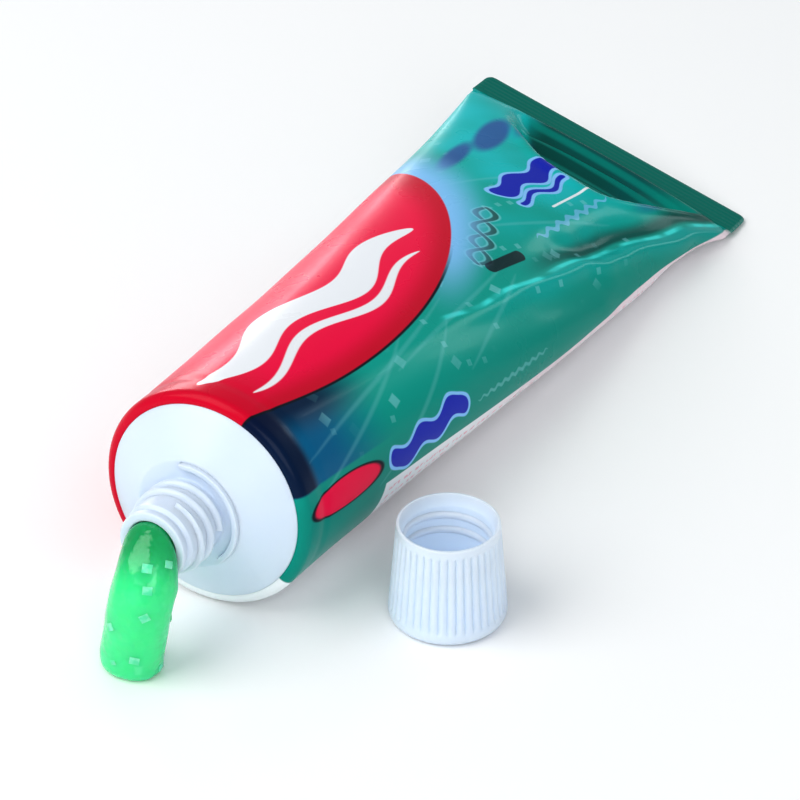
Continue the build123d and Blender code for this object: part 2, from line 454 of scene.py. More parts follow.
@dataclass(frozen=True)
class PrintedLaminate:
    """Laminate printed with fields of colour, under a gloss varnish, with painted shade and painted
    highlights laid into the colour at the tail's folds and along the ridge.

    Places on the print are in millimetres: across the girth from the middle of the front panel, and
    along the tube from its front rim.
    """

    girth: float
    length: float
    crimp_start: float
    roughness: float = 0.27
    red_centre: Pair = (-30.0, 27.0)
    red_radii: tuple[float, float] = (40.0, 70.5)
    panel_edge: float = 29.0
    panel_start: float = 22.0

    def material(self, name: str, uv_name: str) -> bpy.types.Material:
        """Make the finish.

        Args:
            name: The material's name.
            uv_name: The map that holds the share of girth and length.

        Returns:
            The material.
        """
        sheet = NodeSheet(name)
        across, along = self._place(sheet, uv_name)
        colour = self._ground(sheet, across, along)
        colour = self._front_marks(sheet, colour, across, along)
        colour = self._side_marks(sheet, colour, across, along)
        colour = self._red_field(sheet, colour, across, along)
        colour = self._back_panel(sheet, colour, across, along)
        crimp = sheet.ramp(along, self.crimp_start - 0.4, self.crimp_start + 0.4)
        colour = sheet.mix(crimp, colour, InkAndPaintedLight.DEEP_TEAL.value)
        fine = sheet.noise(sheet.object_place(), 1400.0, 3.0)
        mottled = sheet.noise(sheet.object_place(), 60.0, 4.0)
        rough = sheet.math("ADD", self.roughness - 0.05, sheet.math("MULTIPLY", mottled, 0.12))
        sheet.set(
            Base_Color=colour, Roughness=rough, Specular_IOR_Level=0.13, Coat_Weight=0.07, Coat_Roughness=0.07
        )
        teeth = sheet.math("SINE", sheet.math("MULTIPLY", along, math.tau / 1.1))
        pressed = sheet.both(crimp, sheet.math("MULTIPLY", teeth, 0.5))
        sheet.bump(sheet.math("ADD", pressed, sheet.math("MULTIPLY", fine, 0.08)), 0.3, 0.00012)
        return sheet.material

    def _place(self, sheet: NodeSheet, uv_name: str) -> tuple[Socket, Socket]:
        """Read where a point lies on the print.

        Args:
            sheet: The material's nodes.
            uv_name: The map that holds the share of girth and length.

        Returns:
            The places across the girth and along the tube.
        """
        uv = sheet.node("ShaderNodeUVMap", uv_map=uv_name)
        parts = sheet.node("ShaderNodeSeparateXYZ")
        sheet.feed(parts.inputs[0], uv.outputs[0])
        share = sheet.math("SUBTRACT", parts.outputs[0], 0.5)
        across = sheet.math("MULTIPLY", share, self.girth)
        return across, sheet.math("MULTIPLY", parts.outputs[1], self.length)

    def _oval(
        self, sheet: NodeSheet, across: Socket, along: Socket, centre: Pair, radii: Pair
    ) -> Socket:
        """Give about how far outside an oval a point lies, in millimetres.

        Args:
            sheet: The material's nodes.
            across: Place across the girth.
            along: Place along the tube.
            centre: The oval's middle.
            radii: Its two radii.

        Returns:
            The distance, below 0 inside.
        """
        first = sheet.math("DIVIDE", sheet.math("SUBTRACT", across, centre[0]), radii[0])
        second = sheet.math("DIVIDE", sheet.math("SUBTRACT", along, centre[1]), radii[1])
        reach = sheet.math("SQRT", sheet.math("ADD", sheet.both(first, first), sheet.both(second, second)))
        return sheet.math("MULTIPLY", sheet.math("SUBTRACT", reach, 1.0), min(radii))

    def _tilted(
        self, sheet: NodeSheet, across: Socket, along: Socket, centre: Pair, degrees: float
    ) -> tuple[Socket, Socket]:
        """Read places on axes turned about a centre.

        Args:
            sheet: The material's nodes.
            across: Place across the girth.
            along: Place along the tube.
            centre: The middle to turn about.
            degrees: How far the axes turn.

        Returns:
            The places on the turned axes.
        """
        turn = math.radians(degrees)
        first = sheet.math("SUBTRACT", across, centre[0])
        second = sheet.math("SUBTRACT", along, centre[1])
        cosine, sine = math.cos(turn), math.sin(turn)
        turned_across = sheet.math(
            "ADD", sheet.math("MULTIPLY", first, cosine), sheet.math("MULTIPLY", second, sine)
        )
        turned_along = sheet.math(
            "SUBTRACT", sheet.math("MULTIPLY", second, cosine), sheet.math("MULTIPLY", first, sine)
        )
        return turned_across, turned_along

    def _swell(self, sheet: NodeSheet, run: Socket, swing: Pair) -> Socket:
        """Give a wave's height at a place along its run."""
        turn = sheet.math("MULTIPLY", run, math.tau / swing[1])
        return sheet.math("MULTIPLY", sheet.math("SINE", turn), swing[0])

    def _wave(
        self,
        sheet: NodeSheet,
        across: Socket,
        along: Socket,
        centre: Pair,
        half: Pair,
        swing: Pair,
        lean: float = 0.0,
    ) -> Socket:
        """Give how far outside a wavy stroke a point lies.

        Args:
            sheet: The material's nodes.
            across: Place across the girth.
            along: Place along the tube.
            centre: The stroke's middle.
            half: Half its thickness and half its length.
            swing: The wave's height and length.
            lean: Degrees that it leans.

        Returns:
            The distance, in millimetres, below 0 inside.
        """
        side, run = self._tilted(sheet, across, along, centre, lean)
        wave = self._swell(sheet, run, swing)
        off = sheet.math("ABSOLUTE", sheet.math("SUBTRACT", side, wave))
        ratio = sheet.math("DIVIDE", run, half[1])
        room = sheet.math("MAXIMUM", sheet.math("SUBTRACT", 1.0, sheet.both(ratio, ratio)), 0.0)
        outside = sheet.math("SUBTRACT", off, sheet.math("MULTIPLY", sheet.math("SQRT", room), half[0]))
        beyond = sheet.math("SUBTRACT", sheet.math("ABSOLUTE", run), half[1])
        return sheet.math("MAXIMUM", outside, beyond)

    def _bar(
        self,
        sheet: NodeSheet,
        across: Socket,
        along: Socket,
        centre: Pair,
        half: Pair,
        swing: Pair,
        lean: float,
    ) -> Socket:
        """Give how far outside a wavy bar with round ends a point lies.

        Args:
            sheet: The material's nodes.
            across: Place across the girth.
            along: Place along the tube.
            centre: The bar's middle.
            half: Half its thickness and half its length without the round ends.
            swing: The wave's height and length.
            lean: Degrees that it leans.

        Returns:
            The distance, in millimetres, below 0 inside.
        """
        side, run = self._tilted(sheet, across, along, centre, lean)
        wave = self._swell(sheet, run, swing)
        off = sheet.math("SUBTRACT", side, wave)
        past = sheet.math("MAXIMUM", sheet.math("SUBTRACT", sheet.math("ABSOLUTE", run), half[1]), 0.0)
        reach = sheet.math("SQRT", sheet.math("ADD", sheet.both(off, off), sheet.both(past, past)))
        return sheet.math("SUBTRACT", reach, half[0])

    def _ground(self, sheet: NodeSheet, across: Socket, along: Socket) -> Socket:
        """Lay the teal ground, with navy towards the shoulder, streaks and specks, and with the painted shade
        and painted glint of the tail's folds and the ridge.

        Args:
            sheet: The material's nodes.
            across: Place across the girth.
            along: Place along the tube.

        Returns:
            The ground's colour.
        """
        place = sheet.combine(across, along)
        cloud = sheet.noise(place, 0.045, 2.0)
        front = sheet.both(sheet.ramp(across, 20.0, 4.0), sheet.ramp(along, 70.0, 112.0))
        lively = sheet.both(front, sheet.ramp(cloud, 0.30, 0.62))
        colour = sheet.mix(lively, InkAndPaintedLight.TEAL.value, InkAndPaintedLight.AQUA.value)
        side = sheet.ramp(across, 14.0, 27.0)
        colour = sheet.mix(sheet.both(side, 0.45), colour, InkAndPaintedLight.DEEP_TEAL.value)
        shoulder = sheet.ramp(across, 22.0, 21.5)
        colour = sheet.mix(sheet.both(sheet.ramp(along, 27.0, 9.0), shoulder), colour, InkAndPaintedLight.OCEAN.value)
        rim = sheet.both(sheet.ramp(along, 5.6, 3.4), shoulder)
        colour = sheet.mix(sheet.both(rim, 0.95), colour, InkAndPaintedLight.NAVY.value)
        edge = self._oval(sheet, across, along, self.red_centre, self.red_radii)
        beside = sheet.both(sheet.ramp(edge, 7.0, 1.0), sheet.ramp(along, 30.0, 12.0))
        colour = sheet.mix(sheet.both(beside, 0.90), colour, InkAndPaintedLight.NAVY.value)
        colour = self._paint_tail_fold_shade(sheet, colour, across, along)
        colour = self._ridge_light(sheet, colour, across, along)
        colour = self._streaks(sheet, colour, across, along)
        return self._specks(sheet, colour, across, along)

    def _paint_tail_fold_shade(self, sheet: NodeSheet, colour: Socket, across: Socket, along: Socket) -> Socket:
        """Paint shade into the hollow behind the fold towards the crimp, in a strongly curved bow across the
        front, with painted light and dark bands on the small folds and a lighter open end.

        Args:
            sheet: The material's nodes.
            colour: What is printed so far.
            across: Place across the girth.
            along: Place along the tube.

        Returns:
            What is printed, with this added.
        """
        off = sheet.math("SUBTRACT", across, 5.0)
        bow = sheet.math("ADD", sheet.math("MULTIPLY", sheet.both(off, off), 0.045), 114.0)
        behind = sheet.math("SUBTRACT", along, bow)
        near = sheet.both(sheet.ramp(behind, -0.5, 3.0), sheet.ramp(sheet.math("ABSOLUTE", off), 23.0, 15.0))
        # painted shade: dark teal in the hollow behind the fold
        colour = sheet.mix(sheet.both(near, 0.85), colour, InkAndPaintedLight.DARK_TEAL.value)
        # painted light and shade: bands along the small folds in the hollow
        leaning = sheet.math("ADD", sheet.math("MULTIPLY", along, 2.1), sheet.both(across, 0.05))
        bands = sheet.math("SINE", leaning)
        colour = sheet.mix(sheet.both(near, sheet.ramp(bands, -0.2, 1.0), 0.42), colour, InkAndPaintedLight.TEAL.value)
        # painted light: the open end of the hollow is kept lighter
        open_end = sheet.both(near, sheet.ramp(across, 8.0, 20.0), 0.65)
        return sheet.mix(open_end, colour, InkAndPaintedLight.TEAL.value)

    def _ridge_light(self, sheet: NodeSheet, colour: Socket, across: Socket, along: Socket) -> Socket:
        """Paint shade into the hollow beside the ridge, a lighter painted band just past its top, and a thin
        painted glint along its top.

        Args:
            sheet: The material's nodes.
            colour: What is printed so far.
            across: Place across the girth.
            along: Place along the tube.

        Returns:
            What is printed, with this added.
        """
        line = sheet.math("ADD", sheet.math("MULTIPLY", along, 0.107), 6.03)
        past = sheet.math("MAXIMUM", sheet.math("SUBTRACT", along, 98.0), 0.0)
        steeper = sheet.math("MULTIPLY", past, 0.115)
        ripple = sheet.math("MULTIPLY", sheet.math("SINE", sheet.math("MULTIPLY", along, 0.34)), 0.35)
        off = sheet.math("SUBTRACT", across, sheet.math("ADD", sheet.math("ADD", line, steeper), ripple))
        # painted shade in the hollow beside the ridge
        hollow = sheet.both(
            sheet.ramp(off, -5.0, -2.4), sheet.ramp(off, -0.5, -1.6), sheet.ramp(along, 74.0, 96.0)
        )
        colour = sheet.mix(sheet.both(hollow, 0.78), colour, InkAndPaintedLight.DARK_TEAL.value)
        # painted light: a lighter band just past the ridge's top
        beyond = sheet.both(
            sheet.ramp(off, 5.5, 0.6), sheet.ramp(off, -0.2, 0.6), sheet.ramp(along, 50.0, 80.0)
        )
        colour = sheet.mix(sheet.both(beyond, 0.35), colour, InkAndPaintedLight.AQUA.value)
        # painted highlight: a patchy glint along the ridge's top
        patchy = sheet.noise(sheet.combine(across, along), 0.16, 1.0)
        share = sheet.both(sheet.ramp(patchy, 0.34, 0.58), sheet.ramp(along, 40.0, 60.0))
        glint = sheet.both(sheet.ramp(sheet.math("ABSOLUTE", off), 0.75, 0.15), share)
        return sheet.mix(sheet.both(glint, 0.9), colour, InkAndPaintedLight.GLINT.value)

    def _streaks(self, sheet: NodeSheet, colour: Socket, across: Socket, along: Socket) -> Socket:
        """Add fine pale streaks that fan out along the front.

        Args:
            sheet: The material's nodes.
            colour: What is printed so far.
            across: Place across the girth.
            along: Place along the tube.

        Returns:
            What is printed, with this added.
        """
        for centre, lean, size in (
            ((13.0, 30.0), 12.0, 26.0),
            ((17.0, 22.0), 24.0, 20.0),
            ((11.5, 55.0), 8.0, 22.0),
            ((20.0, 36.0), 30.0, 18.0),
            ((6.0, 92.0), -24.0, 18.0),
            ((-6.0, 100.0), -30.0, 20.0),
            ((16.0, 62.0), 20.0, 14.0),
        ):
            off = self._wave(sheet, across, along, centre, (0.42, size), (0.5, 70.0), lean)
            colour = sheet.mix(sheet.both(sheet.ramp(off, 0.25, -0.35), 0.17), colour, InkAndPaintedLight.PALE.value)
        return colour

    def _specks(self, sheet: NodeSheet, colour: Socket, across: Socket, along: Socket) -> Socket:
        """Scatter small pale square flakes over the front.

        Args:
            sheet: The material's nodes.
            colour: What is printed so far.
            across: Place across the girth.
            along: Place along the tube.

        Returns:
            What is printed, with this added.
        """
        for scale, limit, lean, cover in ((0.115, 0.12, 20.0, 0.42), (0.21, 0.13, -12.0, 0.34)):
            side, run = self._tilted(sheet, across, along, (0.0, 0.0), lean)
            cells = sheet.node("ShaderNodeTexVoronoi", distance="CHEBYCHEV", voronoi_dimensions="2D")
            sheet.feed(cells.inputs["Vector"], sheet.combine(side, run))
            cells.inputs["Scale"].default_value = scale
            flake = sheet.ramp(cells.outputs["Distance"], limit, limit * 0.72)
            chosen = sheet.node("ShaderNodeSeparateColor")
            sheet.feed(chosen.inputs[0], cells.outputs["Color"])
            kept = sheet.ramp(chosen.outputs[0], 0.50, 0.95)
            where = sheet.both(
                sheet.ramp(across, 23.0, 18.0), sheet.ramp(along, 116.0, 108.0), sheet.ramp(along, 8.0, 16.0)
            )
            share = sheet.both(flake, kept, where, cover)
            colour = sheet.mix(share, colour, InkAndPaintedLight.PALE.value)
        return colour

    def _front_marks(self, sheet: NodeSheet, colour: Socket, across: Socket, along: Socket) -> Socket:
        """Draw plain waves, patches and rules near the tail of the front panel.

        Args:
            sheet: The material's nodes.
            colour: What is printed so far.
            across: Place across the girth.
            along: Place along the tube.

        Returns:
            What is printed, with this added.
        """
        for centre, half, lean, cover in (
            ((-15.6, 104.5), (2.1, 7.2), 6.0, 0.85),
            ((-14.6, 116.5), (2.9, 8.2), 12.0, 0.85),
            ((-11.0, 123.0), (2.0, 5.0), 6.0, 0.45),
            ((15.4, 121.5), (1.6, 5.0), -10.0, 0.40),
        ):
            side, run = self._tilted(sheet, across, along, centre, lean)
            off = self._oval(sheet, side, run, (0.0, 0.0), half)
            colour = sheet.mix(sheet.both(sheet.ramp(off, 0.5, -0.9), cover), colour, InkAndPaintedLight.VIOLET.value)
        for centre, half, swing in (
            ((-2.2, 104.8), (1.9, 8.2), (0.9, 9.5)),
            ((1.9, 103.6), (0.5, 7.6), (0.8, 9.5)),
        ):
            off = self._bar(sheet, across, along, centre, half, swing, -4.8)
            colour = sheet.mix(sheet.ramp(off, 0.80, 0.50), colour, InkAndPaintedLight.GLOW.value)
            colour = sheet.mix(sheet.ramp(off, 0.12, -0.12), colour, InkAndPaintedLight.BLUE.value)
        rule = self._bar(sheet, across, along, (6.0, 107.0), (0.24, 6.6), (0.0, 50.0), -4.0)
        colour = sheet.mix(sheet.ramp(rule, 0.10, -0.10), colour, InkAndPaintedLight.WHITE.value)
        beads = self._wave(sheet, across, along, (9.1, 101.0), (0.55, 12.0), (0.45, 3.4), -3.0)
        colour = sheet.mix(sheet.both(sheet.ramp(beads, 0.10, -0.10), 0.55), colour, InkAndPaintedLight.GLOW.value)
        for height in (1.7, -1.7):
            off = self._bar(sheet, across, along, (2.6, 79.8), (0.62, 9.6), (height, 10.0), 24.0)
            colour = sheet.mix(sheet.both(sheet.ramp(off, 0.50, 0.10), 0.45), colour, InkAndPaintedLight.PALE.value)
            colour = sheet.mix(sheet.both(sheet.ramp(off, 0.05, -0.25), 0.80), colour, InkAndPaintedLight.DARK_TEAL.value)
        pill = self._bar(sheet, across, along, (8.9, 76.6), (1.15, 4.3), (0.0, 50.0), -6.0)
        return sheet.mix(sheet.both(sheet.ramp(pill, 0.12, -0.12), 0.92), colour, InkAndPaintedLight.INKY.value)

    def _side_marks(self, sheet: NodeSheet, colour: Socket, across: Socket, along: Socket) -> Socket:
        """Draw a plain red oval and plain blue waves on the side.

        Args:
            sheet: The material's nodes.
            colour: What is printed so far.
            across: Place across the girth.
            along: Place along the tube.

        Returns:
            What is printed, with this added.
        """
        side, run = self._tilted(sheet, across, along, (25.4, 11.2), 1.0)
        badge = self._oval(sheet, side, run, (0.0, 0.0), (2.6, 9.6))
        colour = sheet.mix(sheet.ramp(badge, 0.16, -0.02), colour, InkAndPaintedLight.INKY.value)
        colour = sheet.mix(sheet.ramp(badge, -0.10, -0.34), colour, InkAndPaintedLight.RED.value)
        off = self._bar(sheet, across, along, (24.9, 34.0), (1.7, 9.4), (0.8, 8.6), 7.0)
        colour = sheet.mix(sheet.ramp(off, 0.70, 0.45), colour, InkAndPaintedLight.GLOW.value)
        colour = sheet.mix(sheet.ramp(off, 0.08, -0.14), colour, InkAndPaintedLight.BLUE.value)
        rule = self._wave(sheet, across, along, (25.2, 59.0), (0.30, 11.0), (0.22, 2.2), 1.0)
        return sheet.mix(sheet.both(sheet.ramp(rule, 0.16, -0.10), 0.35), colour, InkAndPaintedLight.PALE.value)

    def _red_field(self, sheet: NodeSheet, colour: Socket, across: Socket, along: Socket) -> Socket:
        """Lay the big red field with its glow, dark edge and white waves.

        Args:
            sheet: The material's nodes.
            colour: What is printed so far.
            across: Place across the girth.
            along: Place along the tube.

        Returns:
            What is printed, with this added.
        """
        edge = self._oval(sheet, across, along, self.red_centre, self.red_radii)
        lit = sheet.both(sheet.ramp(edge, 6.5, 0.0), sheet.ramp(along, 50.0, 72.0))
        colour = sheet.mix(sheet.both(lit, 0.95), colour, InkAndPaintedLight.GLOW.value)
        line = sheet.both(sheet.ramp(edge, 0.55, 0.30), sheet.ramp(along, 74.0, 58.0))
        colour = sheet.mix(line, colour, InkAndPaintedLight.INKY.value)
        shade = sheet.math("MAXIMUM", sheet.ramp(along, 16.0, 0.0), sheet.ramp(edge, -5.0, -0.5))
        red = sheet.mix(sheet.both(shade, 0.75), InkAndPaintedLight.RED.value, InkAndPaintedLight.CRIMSON.value)
        for centre, half, swing in (
            ((-5.0, 38.0), (3.4, 35.0), (2.0, 34.0)),
            ((1.4, 36.0), (0.9, 30.0), (1.7, 34.0)),
        ):
            off = self._wave(sheet, across, along, centre, half, swing, 3.5)
            red = sheet.mix(sheet.ramp(off, 0.16, -0.16), red, InkAndPaintedLight.WHITE.value)
        return sheet.mix(sheet.ramp(edge, 0.12, -0.12), colour, red)

    def _back_panel(self, sheet: NodeSheet, colour: Socket, across: Socket, along: Socket) -> Socket:
        """Lay the white back panel with rows of faint pink dashes.

        Args:
            sheet: The material's nodes.
            colour: What is printed so far.
            across: Place across the girth.
            along: Place along the tube.

        Returns:
            What is printed, with this added.
        """
        narrowing = sheet.both(sheet.ramp(along, 60.0, 122.0), sheet.ramp(across, -1.0, 1.0), 2.6)
        edge = sheet.math("SUBTRACT", self.panel_edge, narrowing)
        off = sheet.math("SUBTRACT", sheet.math("ABSOLUTE", across), edge)
        panel = sheet.both(
            sheet.ramp(off, -0.15, 0.15), sheet.ramp(along, self.panel_start - 0.2, self.panel_start + 0.2)
        )
        panel = sheet.math("MAXIMUM", panel, sheet.ramp(off, 9.2, 9.6))
        rows = sheet.math("SINE", sheet.math("MULTIPLY", across, math.tau / 1.9))
        stretched = sheet.combine(sheet.math("MULTIPLY", across, 0.52), sheet.math("MULTIPLY", along, 0.9))
        dashes = sheet.noise(stretched, 1.0, 1.0)
        mark = sheet.both(
            sheet.ramp(rows, 0.1, 0.6), sheet.ramp(dashes, 0.47, 0.55), sheet.ramp(off, 1.0, 1.6)
        )
        printed = sheet.both(
            sheet.ramp(along, self.panel_start + 1.0, self.panel_start + 2.0),
            sheet.ramp(along, self.length - 10.0, self.length - 14.0),
        )
        inside = sheet.both(mark, printed, 0.75)
        blush = sheet.both(
            sheet.ramp(off, 3.4, 0.4), sheet.ramp(along, 44.0, 70.0), sheet.ramp(across, -1.0, 1.0)
        )
        white = sheet.mix(sheet.both(blush, 0.32), InkAndPaintedLight.WHITE.value, InkAndPaintedLight.PINK.value)
        white = sheet.mix(inside, white, InkAndPaintedLight.PINK.value)
        return sheet.mix(panel, colour, white)


@dataclass(frozen=True)
class MouldedPlastic:
    """White moulded plastic that lets a little light in, with a painted glow in its bore where one is set."""

    colour: Colour = (0.70, 0.79, 0.91)
    roughness: float = 0.32
    glow: float = 0.35
    depth: float = 0.0012
    # painted glow: emission strength inside the bore
    painted_bore_glow: float = 0.0
    axis: Vector = Vector((0.0, 0.0, 0.0))
    bore: float = 0.0

    def material(self, name: str) -> bpy.types.Material:
        """Make the finish.

        Args:
            name: The material's name.

        Returns:
            The material.
        """
        sheet = NodeSheet(name)
        place = sheet.object_place()
        if self.painted_bore_glow:
            self._paint_bore_glow(sheet, place)
        cloud = sheet.noise(place, 90.0, 3.0)
        darker = tuple(0.96 * share for share in self.colour)
        tint = sheet.mix(sheet.both(sheet.ramp(cloud, 0.35, 0.65), 0.35), self.colour, darker)
        fine = sheet.noise(place, 2600.0, 2.0)
        rough = sheet.math("ADD", self.roughness - 0.06, sheet.math("MULTIPLY", cloud, 0.12))
        sheet.set(
            Base_Color=tint,
            Roughness=rough,
            Specular_IOR_Level=0.5,
            Subsurface_Weight=self.glow,
            Subsurface_Scale=self.depth,
            Subsurface_Radius=(1.0, 1.05, 1.15),
        )
        sheet.bump(fine, 0.10, 0.00004)
        return sheet.material

    def _paint_bore_glow(self, sheet: NodeSheet, place: Socket) -> None:
        """Paint a glow on the bore's wall and floor, an emission that stands in for the light that comes
        through the thin wall.

        Args:
            sheet: The material's nodes.
            place: The point's place.
        """
        parts = sheet.node("ShaderNodeSeparateXYZ")
        sheet.feed(parts.inputs[0], place)
        across = sheet.math("SUBTRACT", parts.outputs[0], self.axis.x)
        along = sheet.math("SUBTRACT", parts.outputs[1], self.axis.y)
        reach = sheet.math("SQRT", sheet.math("ADD", sheet.both(across, across), sheet.both(along, along)))
        inside = sheet.both(
            sheet.ramp(reach, self.bore + 0.0004, self.bore - 0.0001),
            sheet.ramp(parts.outputs[2], 0.0005, 0.0018),
        )
        # painted glow: the bore glows though it is no lamp
        sheet.set(Emission_Color=self.colour, Emission_Strength=sheet.both(inside, self.painted_bore_glow))


@dataclass(frozen=True)
class WetGel:
    """Bright green gel that glows where light goes through it, with shade painted near the nozzle's mouth."""

    colour: Colour = (0.060, 0.780, 0.320)
    mouth_shade_colour: Colour = (0.000, 0.360, 0.120)
    depth: float = 0.0050

    def material(self, name: str, mouth: Vector) -> bpy.types.Material:
        """Make the finish.

        Args:
            name: The material's name.
            mouth: The middle of the nozzle's mouth, near which shade is painted into the gel's colour.

        Returns:
            The material.
        """
        sheet = NodeSheet(name)
        place = sheet.object_place()
        away = sheet.node("ShaderNodeVectorMath", operation="DISTANCE")
        sheet.feed(away.inputs[0], place)
        away.inputs[1].default_value = mouth
        # painted shade: darker green near the mouth, where the gel lies in the neck's shadow
        painted_mouth_shade = sheet.ramp(away.outputs["Value"], 0.0080, 0.0030)
        cloud = sheet.noise(place, 260.0, 2.0)
        colour = sheet.mix(sheet.both(sheet.ramp(cloud, 0.52, 0.72), 0.5), self.colour, (0.12, 0.86, 0.42))
        colour = sheet.mix(painted_mouth_shade, colour, self.mouth_shade_colour)
        film = sheet.node("ShaderNodeTexVoronoi", distance="CHEBYCHEV")
        sheet.feed(film.inputs["Vector"], place)
        film.inputs["Scale"].default_value = 170.0
        flake = sheet.ramp(film.outputs["Distance"], 0.17, 0.10)
        colour = sheet.mix(sheet.both(flake, 0.22), colour, (0.30, 0.92, 0.60))
        sheet.set(
            Base_Color=colour,
            Roughness=0.12,
            Specular_IOR_Level=0.5,
            Subsurface_Weight=0.85,
            Subsurface_Scale=self.depth,
            Subsurface_Radius=(0.35, 1.0, 0.55),
            Coat_Weight=0.25,
            Coat_Roughness=0.05,
        )
        sheet.bump(sheet.noise(place, 400.0, 2.0), 0.7, 0.0006)
        return sheet.material


@dataclass(frozen=True)
class FilmFlake:
    """Thin pale film that shows its colour through the gel."""

    colour: Colour = (0.13, 0.78, 0.44)

    def material(self, name: str) -> bpy.types.Material:
        """Make the finish.

        Args:
            name: The material's name.

        Returns:
            The material.
        """
        sheet = NodeSheet(name)
        cloud = sheet.noise(sheet.object_place(), 900.0, 2.0)
        colour = sheet.mix(sheet.ramp(cloud, 0.35, 0.65), self.colour, (0.28, 0.86, 0.58))
        sheet.set(Base_Color=colour, Roughness=0.16, Subsurface_Weight=0.4, Subsurface_Scale=0.0008)
        sheet.bump(cloud, 0.1, 0.00005)
        return sheet.material


@dataclass(frozen=True)
class StudioFloor:
    """Plain pale floor."""

    colour: Colour = (0.96, 0.96, 0.96)

    def material(self, name: str) -> bpy.types.Material:
        """Make the finish.

        Args:
            name: The material's name.

        Returns:
            The material.
        """
        sheet = NodeSheet(name)
        cloud = sheet.noise(sheet.object_place(), 3.0, 2.0)
        colour = sheet.mix(sheet.both(cloud, 0.2), self.colour, (0.97, 0.97, 0.97))
        sheet.set(Base_Color=colour, Roughness=0.7, Specular_IOR_Level=0.2)
        return sheet.material


# ---------------------------------------------------------------- where the tube lies


@dataclass
class TubeAxis:
    """The tube's own axes: its rim's centre, and tailward, sideways and upward directions."""

    cap_place: Vector
    radius: float = 17.5
    length: float = 142.0
    crimp_length: float = 6.8
    crimp_half_width: float = math.pi * 17.5 / 2 - 0.3
    wall: float = 0.35
    stiff_length: float = 4.55
    skirt_lift: float = 0.05
    twist: float = -16.2
    cap_from_rim: tuple[float, float] = (33.2, 15.2)

    def __post_init__(self) -> None:
        """Work out the lie from the two places that touch the floor."""
        turn = math.radians(self.twist)
        drop = self.radius + self.crimp_half_width * math.sin(turn)
        reach = self.length - self.stiff_length
        lift = self.wall * math.cos(turn) - self.skirt_lift
        self.slope = math.atan2(drop, reach) - math.asin(lift / math.hypot(drop, reach))
        self.side = Vector((1.0, 0.0, 0.0))
        self.tail = Vector((0.0, math.cos(self.slope), -math.sin(self.slope)))
        self.up = Vector((0.0, math.sin(self.slope), math.cos(self.slope)))
        self.ground = self.cap_place / MM - Vector((*self.cap_from_rim, 0.0))
        lifted = Vector((0.0, 0.0, self.stiff_length * math.sin(self.slope) + self.skirt_lift))
        self.rim = self.ground + self.up * self.radius + lifted

    def place(self, across: float, height: float, along: float) -> Vector:
        """Give a point's place in millimetres from its place in the tube's own axes."""
        return self.rim + self.side * across + self.up * height + self.tail * along

    def turned(self, radius: float, degrees: float, ahead: float) -> Vector:
        """Give a point at a radius and a turn from +X, that far ahead of the rim."""
        turn = math.radians(degrees)
        return self.place(radius * math.cos(turn), radius * math.sin(turn), -ahead)


# ---------------------------------------------------------------- the sleeve


